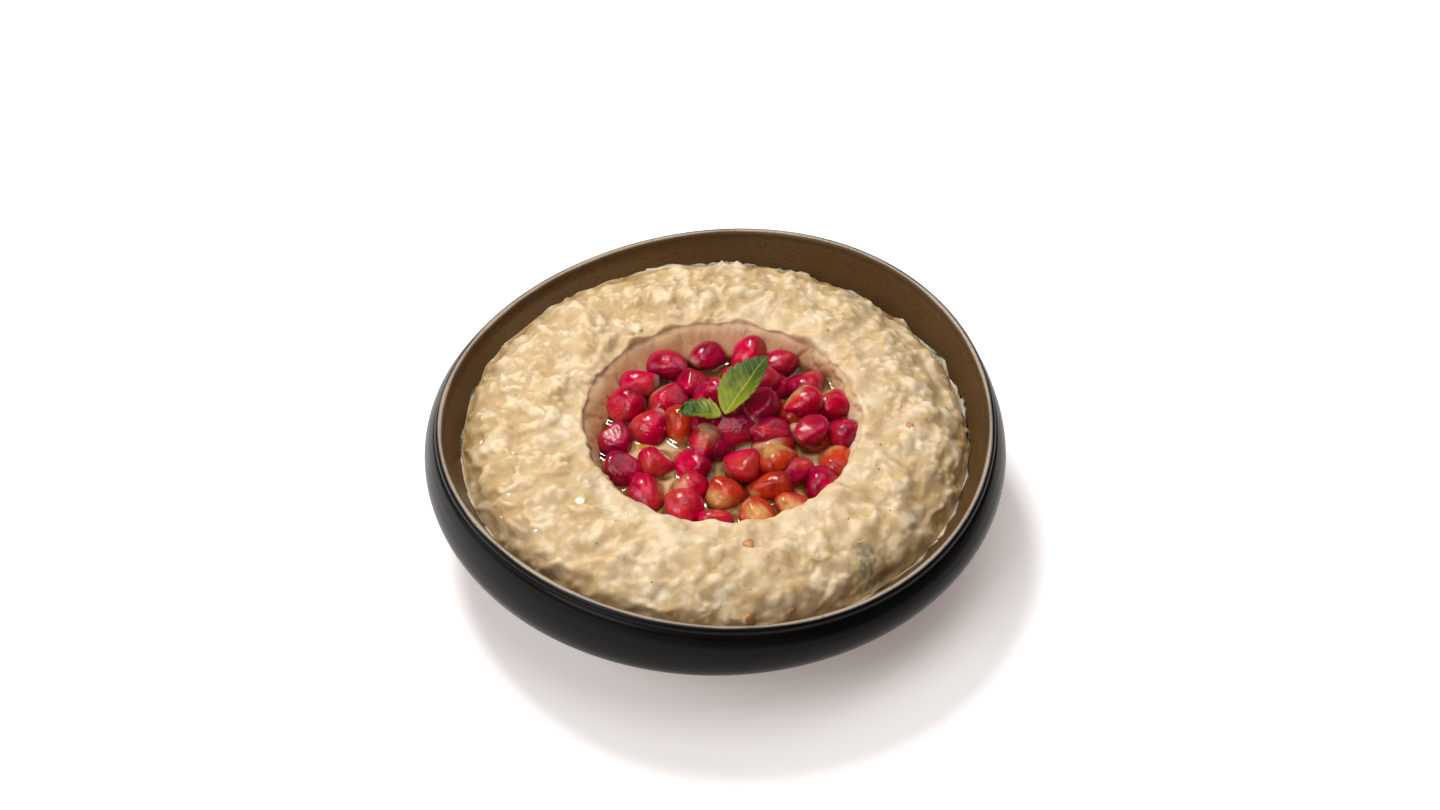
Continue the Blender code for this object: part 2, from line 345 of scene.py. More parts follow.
@dataclass(frozen=True)
class SatinStoneware:
    """Reduction-fired stoneware under a satin iron glaze.

    The outside is near black and the inside a warm brown. On the lip the glaze has run thin and
    breaks to a greyish tan, and the pale band painted there is partly a painted highlight.
    """

    outside: str = "#060505"
    outside_cool: str = "#0c0a09"
    inside: str = "#5b4328"
    inside_deep: str = "#4b341c"
    # Pale tone of the lip band: thin glaze, lightened further as a painted highlight
    lip: str = "#a99a89"
    lip_highlight_band: float = 1.15 * MM
    lip_wander: float = 0.8 * MM
    blush_size: float = 22.0 * MM
    fleck_size: float = 0.7 * MM
    ripple_size: float = 3.0 * MM

    def make(self) -> bpy.types.Material:
        """Build the glaze from its zones, its kiln blushes, its flecks and the lip's painted highlight."""
        made, tree, shader = start_material("satin_stoneware_glaze")
        place = add_node(tree, "ShaderNodeTexCoord", "Object")
        past_lip = add_node(tree, "ShaderNodeAttribute", "Fac", attribute_name="past_lip")
        blush, fleck, ripple = (
            add_node(
                tree, "ShaderNodeTexNoise", "Fac", {"Vector": place, "Scale": repeats(size), "Detail": detail}
            )
            for size, detail in ((self.blush_size, 3.0), (self.fleck_size, 2.0), (self.ripple_size, 3.0))
        )
        off_lip = add_node(tree, "ShaderNodeMath", "Value", {0: past_lip}, operation="ABSOLUTE")
        wander = {0: blush, 1: self.lip_wander, 2: off_lip}
        run = add_node(tree, "ShaderNodeMath", "Value", wander, operation="MULTIPLY_ADD")
        within, lip_highlight, flecked = (
            add_node(
                tree,
                "ShaderNodeMapRange",
                "Result",
                {"Value": value, "From Min": low, "From Max": high, "To Min": first, "To Max": last},
                **EASED,
            )
            for value, low, high, first, last in (
                (past_lip, -0.3 * MM, 0.5 * MM, 0.0, 1.0),
                (run, 0.35 * self.lip_highlight_band, self.lip_highlight_band, 1.0, 0.0),
                (fleck, 0.52, 0.72, 0.0, 0.35),
            )
        )
        tone, inner = (
            add_node(
                tree,
                "ShaderNodeMix",
                MIX_COLOUR,
                {MIX_FACTOR: blush, MIX_FIRST: linear(plain), MIX_SECOND: linear(blushed)},
                **COLOUR,
            )
            for plain, blushed in ((self.outside, self.outside_cool), (self.inside, self.inside_deep))
        )
        # Over the inside tone go the lip band, a painted highlight on thin glaze, and the dark flecks
        for share, over in ((within, inner), (lip_highlight, linear(self.lip)), (flecked, linear(self.outside))):
            layer = {MIX_FACTOR: share, MIX_FIRST: tone, MIX_SECOND: over}
            tone = add_node(tree, "ShaderNodeMix", MIX_COLOUR, layer, **COLOUR)
        satin = {"Value": blush, "To Min": 0.24, "To Max": 0.4}
        relief = {"Height": ripple, "Strength": 0.25, "Distance": 0.06 * MM}
        feed(
            shader,
            {
                "Base Color": tone,
                "Roughness": add_node(tree, "ShaderNodeMapRange", "Result", satin),
                "Specular IOR Level": 0.13,
                "Normal": add_node(tree, "ShaderNodeBump", "Normal", relief),
            },
        )
        return made


@dataclass(frozen=True)
class AubergineMash:
    """Smoked aubergine beaten with tahini: an oily, slightly see-through paste.

    Light goes a few millimetres in, so its lumps are soft. Its hollows and dents are painted a golden
    shade, the back side of its well a brown shade, and its foot by the wall a darker painted shade,
    partly oil soaked in. Sesame gives the cream, and strands of flesh give olive and ochre tints.
    """

    cream: str = "#e2cdac"
    butter: str = "#d2b489"
    # Painted shade: the golden tone laid into the hollows and dents
    hollow_shade_gold: str = "#ae8a50"
    olive: str = "#c8ae66"
    # Painted shade: the brown laid on the well's back side, its wall, brow and floor
    well_shade_brown: str = "#b07a4e"
    milk: str = "#f3dfd0"
    smoke: str = "#7f765c"
    # Darker foot by the wall: painted shade, partly oil soaked into the paste
    foot_soak_and_shade: str = "#8f6e3a"
    patch_size: float = 8.0 * MM
    tint_size: float = 3.2 * MM
    curd_size: float = 1.3 * MM
    depth: float = 1.8 * MM

    def make(self) -> bpy.types.Material:
        """Build the paste: patches, olive tints, a wet foot, and painted shade in hollows, well and foot."""
        made, tree, shader = start_material("aubergine_tahini_mash")
        place = add_node(tree, "ShaderNodeTexCoord", "Object")
        hollow, well, milky, wet, smoked, foot_soak_and_shade = (
            add_node(tree, "ShaderNodeAttribute", "Fac", attribute_name=name) for name in DIP_MARKS
        )
        patch, tint, curd = (
            add_node(
                tree, "ShaderNodeTexNoise", "Fac", {"Vector": place, "Scale": repeats(size), "Detail": detail}
            )
            for size, detail in ((self.patch_size, 4.0), (self.tint_size, 3.0), (self.curd_size, 3.0))
        )
        spread, olive = (
            add_node(
                tree,
                "ShaderNodeMapRange",
                "Result",
                {"Value": value, "From Min": low, "From Max": high, "To Max": most},
                **EASED,
            )
            for value, low, high, most in ((patch, 0.35, 0.68, 1.0), (tint, 0.52, 0.72, 0.5))
        )
        # Painted shade: golden in the hollows, and darker at the foot by the wall, which is partly oil
        deep, patchy_foot_shade = (
            add_node(tree, "ShaderNodeMath", "Value", {0: first, 1: second}, operation="MULTIPLY")
            for first, second in ((hollow, 0.55), (patch, foot_soak_and_shade))
        )
        tone: Any = linear(self.cream)
        for share, code in (
            (spread, self.butter),
            (deep, self.hollow_shade_gold),
            (olive, self.olive),
            (patchy_foot_shade, self.foot_soak_and_shade),
            (well, self.well_shade_brown),
            (milky, self.milk),
            (smoked, self.smoke),
        ):
            layer = {MIX_FACTOR: share, MIX_FIRST: tone, MIX_SECOND: linear(code)}
            tone = add_node(tree, "ShaderNodeMix", MIX_COLOUR, layer, **COLOUR)
        curdle = {"Value": curd, "From Min": 0.35, "From Max": 0.65, "To Min": 0.95, "To Max": 1.04}
        shade = add_node(tree, "ShaderNodeMapRange", "Result", curdle)
        sheen = {"Value": wet, "To Min": 0.6, "To Max": 0.28}
        relief = {"Height": curd, "Strength": 0.6, "Distance": 0.18 * MM}
        feed(
            shader,
            {
                "Base Color": add_node(
                    tree, "ShaderNodeVectorMath", "Vector", {0: tone, "Scale": shade}, operation="SCALE"
                ),
                "Roughness": add_node(tree, "ShaderNodeMapRange", "Result", sheen),
                "Subsurface Weight": 0.8,
                "Subsurface Radius": (1.0, 0.7, 0.4),
                "Subsurface Scale": self.depth,
                "Coat Weight": 0.06,
                "Coat Roughness": 0.25,
                "Normal": add_node(tree, "ShaderNodeBump", "Normal", relief),
            },
        )
        return made


@dataclass(frozen=True)
class GreenGoldOil:
    """Olive oil with a sharp shine: clear and gold at the deep side, clouded with tahini elsewhere."""

    gold: str = "#eeb850"
    cloud: str = "#e9c7a4"
    swirl_size: float = 6.0 * MM

    def make(self) -> bpy.types.Material:
        """Build the oil from how clouded it is, with swirls at the edge of the cloud."""
        made, tree, shader = start_material("olive_oil_tahini")
        place = add_node(tree, "ShaderNodeTexCoord", "Object")
        clouded = add_node(tree, "ShaderNodeAttribute", "Fac", attribute_name="clouded")
        swirls = {"Vector": place, "Scale": repeats(self.swirl_size), "Detail": 3.0}
        swirl = add_node(tree, "ShaderNodeTexNoise", "Fac", swirls)
        drawn = add_node(
            tree, "ShaderNodeMath", "Value", {0: swirl, 1: 0.9, 2: clouded}, operation="MULTIPLY_ADD"
        )
        edge = {"Value": drawn, "From Min": 0.55, "From Max": 1.15}
        share = add_node(tree, "ShaderNodeMapRange", "Result", edge, **EASED)
        tones = {MIX_FACTOR: share, MIX_FIRST: linear(self.gold), MIX_SECOND: linear(self.cloud)}
        clear = {"Value": share, "To Min": 1.0, "To Max": 0.3}
        feed(
            shader,
            {
                "Base Color": add_node(tree, "ShaderNodeMix", MIX_COLOUR, tones, **COLOUR),
                "Transmission Weight": add_node(tree, "ShaderNodeMapRange", "Result", clear),
                "Roughness": 0.04,
                "IOR": 1.47,
                "Subsurface Weight": 0.5,
                "Subsurface Radius": (1.0, 0.6, 0.4),
                "Subsurface Scale": 1.5 * MM,
            },
        )
        return made


@dataclass(frozen=True)
class JuicySeedFlesh:
    """Pomegranate flesh: clear red juice sacs under a thin tight skin, wet with oil.

    Light goes through it, so it glows red at its edges and shows its kernel, and its skin is a
    little dimpled, which breaks a highlight into flakes.
    """

    dimple_size: float = 0.7 * MM
    mottle_size: float = 1.6 * MM
    depth: float = 2.0 * MM

    def make(self) -> bpy.types.Material:
        """Build the flesh. Its reds come from each seed's own colour attribute."""
        made, tree, shader = start_material("pomegranate_juice_flesh")
        place = add_node(tree, "ShaderNodeTexCoord", "Object")
        flesh = add_node(tree, "ShaderNodeAttribute", "Color", attribute_name="flesh")
        mottle, dimple = (
            add_node(
                tree, "ShaderNodeTexNoise", "Fac", {"Vector": place, "Scale": repeats(size), "Detail": detail}
            )
            for size, detail in ((self.mottle_size, 3.0), (self.dimple_size, 2.0))
        )
        mottling = {"Value": mottle, "From Min": 0.3, "From Max": 0.7, "To Min": 0.8, "To Max": 1.2}
        shade = add_node(tree, "ShaderNodeMapRange", "Result", mottling)
        relief = {"Height": dimple, "Strength": 0.7, "Distance": 0.2 * MM}
        bump = add_node(tree, "ShaderNodeBump", "Normal", relief)
        feed(
            shader,
            {
                "Base Color": add_node(
                    tree, "ShaderNodeVectorMath", "Vector", {0: flesh, "Scale": shade}, operation="SCALE"
                ),
                "Roughness": 0.1,
                "IOR": 1.37,
                "Specular IOR Level": 0.0,
                "Transmission Weight": 0.52,
                "Subsurface Weight": 0.62,
                "Subsurface Radius": (1.0, 0.12, 0.14),
                "Subsurface Scale": self.depth,
                "Coat Weight": 0.9,
                "Coat Roughness": 0.05,
                "Coat IOR": 1.36,
                "Normal": bump,
                "Coat Normal": bump,
            },
        )
        return made


@dataclass(frozen=True)
class WoodyKernel:
    """The pomegranate's small hard kernel: ivory, with amber where it is thin, and matt."""

    ivory: str = "#f3d3a8"
    amber: str = "#d98f4c"
    grain_size: float = 1.2 * MM

    def make(self) -> bpy.types.Material:
        """Build the kernel."""
        made, tree, shader = start_material("pomegranate_kernel_wood")
        place = add_node(tree, "ShaderNodeTexCoord", "Object")
        pattern = {"Vector": place, "Scale": repeats(self.grain_size), "Detail": 3.0}
        grain = add_node(tree, "ShaderNodeTexNoise", "Fac", pattern)
        tones = {MIX_FACTOR: grain, MIX_FIRST: linear(self.ivory), MIX_SECOND: linear(self.amber)}
        tone = add_node(tree, "ShaderNodeMix", MIX_COLOUR, tones, **COLOUR)
        feed(shader, {"Base Color": tone, "Roughness": 0.5})
        return made


@dataclass(frozen=True)
class MintLeafTissue:
    """Fresh mint: thin quilted blades, paler along the veins, with a soft waxy shine.

    A young blade is yellow-green at its stalk and darkens to its tip.
    """

    blade: str = "#3a560a"
    shade: str = "#203a04"
    young: str = "#848a1c"
    vein: str = "#a3a238"
    patch_size: float = 3.0 * MM
    pucker_size: float = 0.8 * MM

    def make(self) -> bpy.types.Material:
        """Build the leaf's greens from its vein and young attributes."""
        made, tree, shader = start_material("fresh_mint_leaf")
        place = add_node(tree, "ShaderNodeTexCoord", "Object")
        vein, young = (
            add_node(tree, "ShaderNodeAttribute", "Fac", attribute_name=name) for name in ("vein", "young")
        )
        pucker, patch = (
            add_node(
                tree, "ShaderNodeTexNoise", "Fac", {"Vector": place, "Scale": repeats(size), "Detail": detail}
            )
            for size, detail in ((self.pucker_size, 3.0), (self.patch_size, 2.0))
        )
        turned = add_node(
            tree, "ShaderNodeMath", "Value", {0: patch, 1: 0.7, 2: young}, operation="MULTIPLY_ADD"
        )
        turning = {"Value": turned, "From Min": 0.55, "From Max": 1.25}
        fresh = add_node(tree, "ShaderNodeMapRange", "Result", turning, **EASED)
        tone: Any = linear(self.blade)
        for share, code in ((pucker, self.shade), (fresh, self.young), (vein, self.vein)):
            layer = {MIX_FACTOR: share, MIX_FIRST: tone, MIX_SECOND: linear(code)}
            tone = add_node(tree, "ShaderNodeMix", MIX_COLOUR, layer, **COLOUR)
        relief = {"Height": pucker, "Strength": 0.4, "Distance": 0.1 * MM}
        feed(
            shader,
            {
                "Base Color": tone,
                "Roughness": 0.42,
                "Specular IOR Level": 0.3,
                "Subsurface Weight": 0.15,
                "Subsurface Radius": (0.5, 1.0, 0.1),
                "Subsurface Scale": 0.6 * MM,
                "Normal": add_node(tree, "ShaderNodeBump", "Normal", relief),
            },
        )
        return made


@dataclass
class StonewareBowl:
    """The thick-walled bowl: foot ring, belly, waved rim with a bead for a lip, and inside wall."""

    belly_radius: float = field(default_factory=lambda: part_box("bowl")[1].x)
    belly_height: float = 27.5 * MM
    belly_round: float = 8.0 * MM
    rim_height: float = 37.5 * MM
    rim_wave: float = 3.0 * MM
    rim_lean: float = 0.8 * MM
    lean_towards: float = math.radians(-42.0)
    foot_radius: float = 41.0 * MM
    foot_width: float = 4.5 * MM
    foot_recess: float = 1.5 * MM
    lip_radius: float = 72.5 * MM
    lip_width: float = 2.4 * MM
    floor_height: float = 7.0 * MM
    fill_height: float = 29.0 * MM
    fill_radius: float = 65.8 * MM
    buried_steps: int = 8
    buried_draw: float = 0.82
    steps: int = 64
    cuts: int = 3

    def outside(self) -> Outline:
        """The outline from the axis under the foot up to the lip's crease."""
        foot_inner = self.foot_radius - self.foot_width
        foot = [
            (0.0, self.foot_recess),
            (foot_inner - 1.0 * MM, self.foot_recess),
            (foot_inner, 0.0),
            (self.foot_radius - 0.6 * MM, 0.0),
            (self.foot_radius, 0.8 * MM),
            (self.foot_radius + 0.8 * MM, 3.0 * MM),
        ]
        belly = (self.belly_radius - self.belly_round, self.belly_height)
        under = arc(belly, self.belly_round, -48.0, 0.0, 12)
        pull = (under[0][0] - 11.0 * MM, under[0][1] - 10.0 * MM)
        sweep = []
        for i in range(1, 14):
            t = i / 14
            weights = ((1.0 - t) ** 2, 2.0 * t * (1.0 - t), t * t)
            pulls = list(zip(weights, (foot[-1], pull, under[0])))
            sweep.append(tuple(sum(weight * point[k] for weight, point in pulls) for k in (0, 1)))
        shoulder = [
            under[-1],
            (self.belly_radius - 0.15 * MM, self.belly_height + 1.4 * MM),
            (self.belly_radius - 0.45 * MM, self.belly_height + 2.8 * MM),
            (self.belly_radius - 1.4 * MM, self.belly_height + 5.4 * MM),
            (self.lip_radius + 0.5 * MM, self.rim_height - 2.5 * MM),
            (self.lip_radius - 0.35 * MM, self.rim_height - 1.9 * MM),
        ]
        return foot + sweep + under[:-1] + divide(shoulder, [2, 2, 3, 3, 2])

    def lip(self) -> Outline:
        """The rounded bead, from over the outer crease to the inner shoulder."""
        bead = 0.5 * self.lip_width
        centre = (self.lip_radius - bead, self.rim_height - bead)
        shoulder = (self.lip_radius - self.lip_width - 0.4 * MM, self.rim_height - 2.0 * MM)
        return arc(centre, bead, -8.0, 180.0, 20) + [shoulder]

    def inside(self) -> Outline:
        """The inside wall above the fill line, then below it down to the axis."""
        shoulder = self.lip()[-1]
        above = divide([shoulder, (self.fill_radius, self.fill_height)], [14])[1:]
        below = [place for _, place in self.buried()]
        return above + below + [(0.0, self.floor_height)]

    def buried(self) -> list[tuple[float, tuple[float, float]]]:
        """The inside below the fill line: each step's angle, with its radius and height."""
        made = []
        for i in range(1, self.buried_steps + 1):
            angle = 0.5 * math.pi * i / self.buried_steps
            radius = self.fill_radius * (1.0 - self.buried_draw * (1.0 - math.cos(angle)))
            depth = (self.fill_height - self.floor_height) * math.sin(angle)
            made.append((angle, (radius, self.fill_height - depth)))
        return made

    def wave(self, turn: float) -> float:
        """How far the rim is lifted at an angle round the bowl."""
        return self.rim_wave * math.sin(2.0 * turn) + self.rim_lean * math.cos(turn - self.lean_towards)

    def lift(self, radius: float, height: float, turn: float) -> float:
        """The lift of a point of the wall: none at the belly and fill line, full at the rim.

        Args:
            radius: The point's distance from the axis.
            height: Its height before the rim is waved.
            turn: Its angle round the bowl.

        Returns:
            How far up it goes.
        """
        low = self.fill_height - 2.0 * MM if radius > self.lip_radius - self.lip_width else self.fill_height
        full = self.rim_height - 2.5 * MM
        return self.wave(turn) * min(1.0, max(0.0, (height - low) / (full - low)))

    def wall(self, turn: float, share: float) -> tuple[float, float]:
        """A place on the inside wall, from the fill line at 0 to the shoulder under the lip at 1.

        Args:
            turn: The angle round the bowl.
            share: How far up the wall.

        Returns:
            Its radius and height.
        """
        top = self.lip()[-1]
        radius = self.fill_radius + (top[0] - self.fill_radius) * share
        height = self.fill_height + (top[1] - self.fill_height) * share
        return radius, height + self.lift(radius, height, turn)

    def build(self) -> bpy.types.Object:
        """Turn the outline, wave its rim and mark how far each ring lies past the lip."""
        outside, lip, inside = self.outside(), self.lip(), self.inside()
        points = outside + lip + inside
        shape = turn_outline(points, self.steps, self.cuts)
        crest = len(outside) + len(lip) // 2
        runs = [math.dist(a, b) for a, b in zip(points, points[1:])]
        past = [sum(runs[crest:i]) - sum(runs[i:crest]) for i in range(len(points))]
        along = shape.verts.layers.float[ALONG]
        past_lip = shape.verts.layers.float.new("past_lip")
        for vertex in shape.verts:
            radius, height = points[round(vertex[along])]
            turn = math.atan2(vertex.co.y, vertex.co.x)
            vertex.co = Vector((radius * math.cos(turn), radius * math.sin(turn), height))
            vertex.co.z += self.lift(radius, height, turn)
            vertex[past_lip] = past[round(vertex[along])]
        return publish("bowl_stoneware", shape, SatinStoneware().make(), ["bowl"])


@dataclass
class Well:
    """The well in the middle of the dip, and the oil's level in it."""

    radius: float = 35.6 * MM
    floor_radius: float = 33.0 * MM
    floor: float = field(default_factory=lambda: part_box("olive_oil")[0].z - GAP)
    oil_level: float = field(default_factory=lambda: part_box("olive_oil")[1].z)
    bare_spot: Vector = field(default_factory=lambda: Vector((-21.0, -5.0)) * MM)
    bare_radius: float = 6.0 * MM
    deep_side: Vector = field(default_factory=lambda: Vector((-0.5, 0.87)))
    centre: Vector = field(init=False)

    def __post_init__(self) -> None:
        """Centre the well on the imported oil."""
        low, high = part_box("olive_oil")
        self.centre = Vector((0.5 * (low.x + high.x), 0.5 * (low.y + high.y), 0.0))


@dataclass
class AubergineDip:
    """The dip heaped as a ring round its well, lumpy from the spoon, smeared a little up the wall."""

    bowl: StonewareBowl
    well: Well
    crest_height: float = 41.0 * MM
    crest_radius: float = 45.0 * MM
    brow_round: float = 1.3 * MM
    lump_height: float = 1.8 * MM
    lump_size: float = 8.0 * MM
    dent_size: float = 7.0 * MM
    dent_depth: float = 1.1 * MM
    smear_turn: float = math.radians(-40.0)
    smear_width: float = math.radians(13.0)
    smoke_patch: Vector = field(default_factory=lambda: Vector((37.8, -48.6)) * MM)
    smoke_radius: float = 5.4 * MM
    smoke_share: float = 0.9
    slope_steps: int = 50
    brow_steps: int = 7
    steps: int = 90
    cuts: int = 7

    def stations(self) -> list[Station]:
        """The outline from the axis under the dip, up its outside and down into the well.

        Returns:
            For each station its radius, height, zone and how far along the zone it is.
        """
        bowl, well = self.bowl, self.well
        made: list[Station] = [(0.0, bowl.floor_height + GAP, Zone.UNDER, 0.0)]
        for angle, (radius, height) in reversed(bowl.buried()):
            made.append((radius - GAP * math.cos(angle), height + GAP * math.sin(angle), Zone.UNDER, 0.0))
        climbs = (-0.01, -0.5, -1.0, 1.0, 0.75, 0.5, 0.25)
        made += [(bowl.fill_radius, bowl.fill_height, Zone.FILM, share) for share in climbs]
        outer = bowl.fill_radius
        rise = self.crest_height - bowl.fill_height
        for i in range(self.slope_steps):
            angle = 0.5 * math.pi * i / self.slope_steps
            radius = outer - (outer - self.crest_radius) * (1.0 - math.cos(angle)) ** 0.8
            height = bowl.fill_height + rise * math.sin(angle) ** 1.1
            made.append((radius, height, Zone.SLOPE, i / self.slope_steps))
        brow_centre = (well.radius + self.brow_round, self.crest_height - 0.3 * MM - self.brow_round)
        brow_top = (brow_centre[0], brow_centre[1] + self.brow_round)
        top = divide([(self.crest_radius, self.crest_height), brow_top], [16])
        made += [(r, z, Zone.BROW, 0.5 * i / len(top)) for i, (r, z) in enumerate(top[:-1])]
        edge = arc(brow_centre, self.brow_round, 90.0, 180.0, self.brow_steps)
        made += [(r, z, Zone.BROW, 0.5 + 0.5 * i / self.brow_steps) for i, (r, z) in enumerate(edge)]
        middle = (0.5 * (well.radius + well.floor_radius) - 0.4 * MM, 0.5 * (well.floor + brow_centre[1]))
        wall = divide([edge[-1], middle, (well.floor_radius, well.floor)], [8, 8])[1:]
        made += [(r, z, Zone.WALL, (i + 1) / len(wall)) for i, (r, z) in enumerate(wall)]
        floor = divide([wall[-1], (0.0, well.floor)], [26])[1:]
        made += [(r, z, Zone.FLOOR, (i + 1) / len(floor)) for i, (r, z) in enumerate(floor)]
        return made

    def mash(self, place: Vector) -> float:
        """How far the mash's small lumps stand out at a place, from about -1 to 1."""
        spot = place / MM
        drift = spot + noise.noise_vector(spot / 7.0) * 1.8 + noise.noise_vector(spot / 2.4) * 0.4
        lumpy = smooth_step(noise.noise(spot / 11.0 + Vector((2.0, 6.0, 0.0))), -0.4, 0.1)
        lump = soft_size(noise.noise(drift / 7.5))
        clot = dome(drift / 5.0)
        knob = dome(drift / 2.9 + Vector((7.0, 1.0, 5.0)))
        curd = dome(drift / 1.7 + Vector((9.0, 4.0, 2.0)))
        strand = noise.noise(Vector((drift.x / 9.0, drift.y / 3.0, drift.z / 3.0)))
        pulled = smooth_step(spot.x, 10.0, -30.0)
        front = smooth_step(spot.y, -15.0, -40.0)
        small = (0.25 + 0.35 * lumpy) * knob + (0.12 + 0.2 * lumpy) * (1.0 - 0.4 * front) * curd
        steep = 1.0 - 0.3 * front + 0.4 * smooth_step(spot.y - spot.x, 5.0, 45.0)
        return steep * (0.95 * lump + 0.65 * clot + small + (0.05 + 0.4 * pulled) * strand - 0.74) + 0.06

    def teeth(self, turn: float) -> float:
        """How far the well's edge wanders in or out at an angle round it."""
        ring = Vector((math.cos(turn), math.sin(turn), 0.0)) * self.well.radius / MM
        return (noise.noise(ring / 7.0) + 0.6 * noise.noise(ring / 2.4)) * MM

    def film(self, turn: float, share: float) -> Vector:
        """A place on the thin film that the dip leaves on the wall above its foot.

        Args:
            turn: The angle round the bowl.
            share: Up the wall side from 0 to -1, or down the open side from 1 to 0.

        Returns:
            The place, just inside the wall for the wall side and just proud of it for the open one.
        """
        ring = Vector((math.cos(turn), math.sin(turn), 0.0)) * self.bowl.fill_radius / MM
        creep = 0.14 + 0.16 * noise.noise(ring / 5.0) + 0.1 * noise.noise(ring / 1.6)
        off = (turn - self.smear_turn) / self.smear_width
        climb = max(0.03, creep) + 0.42 * math.exp(-off * off)
        radius, height = self.bowl.wall(turn, climb * abs(share))
        radius -= -0.15 * MM if share < 0.0 else (0.05 + 0.55 * (1.0 - share)) * MM
        return Vector((radius * math.cos(turn), radius * math.sin(turn), height))

    def pond_bed(self, place: Vector) -> float:
        """How far the well's floor stands up at a place: a mound at the bare spot, and low lumps."""
        off = (place.xy - self.bare_spot).length / MM
        mound = 2.5 * smooth_step(off, 13.0, 2.0)
        return (mound + 0.5 * noise.noise(place / (5.0 * MM))) * MM

    @property
    def bare_spot(self) -> Vector:
        """Where the well's floor shows through the oil, in the dish's own frame."""
        return self.well.centre.xy + self.well.bare_spot

    def shape_point(self, station: Station, normal: Vector, turn: float) -> tuple[Vector, float]:
        """Place one point of the dip.

        Args:
            station: The point's station on the outline.
            normal: The outline's normal there, as radius and height.
            turn: The point's angle round the dish.

        Returns:
            The place, and how deep in a hollow it lies from 0 to 1.
        """
        radius, height, zone, share = station
        around = Vector((math.cos(turn), math.sin(turn), 0.0))
        place = around * radius + Vector((0.0, 0.0, height))
        if zone is Zone.UNDER:
            return place, 0.0
        if zone is Zone.FILM:
            return self.film(turn, share), 0.0
        if zone is Zone.FLOOR:
            lean = 6.0 * MM * smooth_step(around.xy.dot(self.well.deep_side), 0.0, 1.0)
            place -= around * lean * (1.0 - share)
            place += self.well.centre
            place.z += self.pond_bed(place) * smooth_step(share, 0.0, 0.15)
            return place, 0.0
        outward = around * normal.x + Vector((0.0, 0.0, normal.y))
        rise = (height - self.bowl.fill_height) / (self.crest_height - self.bowl.fill_height)
        shift = self.well.centre * (min(1.0, rise) if zone is Zone.SLOPE else 1.0)
        if zone is Zone.WALL:
            ring = Vector((around.x, around.y, 0.0)) * self.well.radius / MM
            level = Vector((0.0, 0.0, 9.0 * share))
            drift = noise.noise_vector(ring / 3.0 + level / 2.0) * 0.9
            fold = 0.7 * dome(ring / 3.4 + level / 2.6 + drift) - 0.35
            sag = 1.1 * noise.noise(ring / 6.0 + level / 5.0)
            side = smooth_step(around.xy.dot(self.well.deep_side), 0.0, 1.0)
            lean = 6.0 * side * math.sin(0.5 * math.pi * share)
            rough = (fold + sag) * smooth_step(share, 0.0, 0.15) - lean
            place += around * (self.teeth(turn) * (1.0 - share) ** 2 + rough * MM)
            return place + shift, 0.0
        broad = noise.fractal(place / self.lump_size, 1.0, 2.0, 2) * min(1.0, 2.0 * rise)
        dent = smooth_step(noise.noise(place / self.dent_size + Vector((3.0, 9.0, 0.0))), -0.05, 0.5)
        dent *= smooth_step(share, 0.02, 0.12) * smooth_step(share, 0.55, 0.3) if zone is Zone.SLOPE else 0.0
        calm = 1.0 - 0.65 * share if zone is Zone.BROW else smooth_step(share, 0.0, 0.06)
        small = self.mash(place) * calm
        kept = 1.0 - smooth_step(share, 0.6, 1.0) if zone is Zone.BROW else 1.0
        place.z += self.lump_height * broad * kept
        place += outward * (small - self.dent_depth / MM * dent) * MM
        if zone is Zone.BROW:
            place += around * self.teeth(turn) * smooth_step(share, 0.2, 0.6)
        place += shift
        if zone is Zone.SLOPE:
            limit = self.bowl.fill_radius + 0.55 * max(0.0, place.z - self.bowl.fill_height) - 0.05 * MM
            reach = math.hypot(place.x, place.y)
            if reach > limit:
                place.xy = place.xy * (limit / reach)
        # How deep the point lies in hollows and dents, which the mash paints with a golden shade
        dip = smooth_step(small, 0.06, -0.36) * (1.0 - share if zone is Zone.BROW else 1.0)
        return place, min(1.0, dip + 0.4 * dent)

    def build(self) -> bpy.types.Object:
        """Turn the outline and give it its lumps, its film and its well, with the zones' shares."""
        stations = self.stations()
        outline = [(radius, height) for radius, height, _, _ in stations]
        normals = []
        for i in range(len(outline)):
            before, after = outline[max(0, i - 1)], outline[min(len(outline) - 1, i + 1)]
            run = Vector((after[1] - before[1], before[0] - after[0]))
            normals.append(run.normalized())
        shape = turn_outline(spread_ties(outline), self.steps, self.cuts)
        along = shape.verts.layers.float[ALONG]
        layers = {name: shape.verts.layers.float.new(name) for name in DIP_MARKS}
        for vertex in shape.verts:
            number = round(vertex[along])
            zone, share = stations[number][2:]
            turn = math.atan2(vertex.co.y, vertex.co.x)
            vertex.co, hollow = self.shape_point(stations[number], normals[number], turn)
            vertex[layers["hollow"]] = hollow
            self.mark(vertex, layers, zone, share)
        return publish("baba_ganoush_dip", shape, AubergineMash().make(), ["baba_ganoush"])

    def mark(self, vertex: bmesh.types.BMVert, layers: dict[str, Any], zone: Zone, share: float) -> None:
        """Write a point's shares of painted well shade, milky floor, wet foot, foot shade and soaking, and
        smoked patch.

        Args:
            vertex: The point, in place.
            layers: The float layers by name.
            zone: The zone it lies on.
            share: How far along the zone it is.
        """
        if zone is Zone.WALL:
            side = (vertex.co.xy - self.well.centre.xy).normalized().dot(self.well.deep_side)
            # Painted shade: brown on the well wall, strongest on its back side
            well_shade_brown = 0.15 + 0.8 * smooth_step(side, -0.6, 0.5)
            vertex[layers["well"]] = smooth_step(share, -0.15, 0.25) * well_shade_brown
            vertex[layers["wet"]] = 0.6 * share
        elif zone is Zone.BROW:
            side = (vertex.co.xy - self.well.centre.xy).normalized().dot(self.well.deep_side)
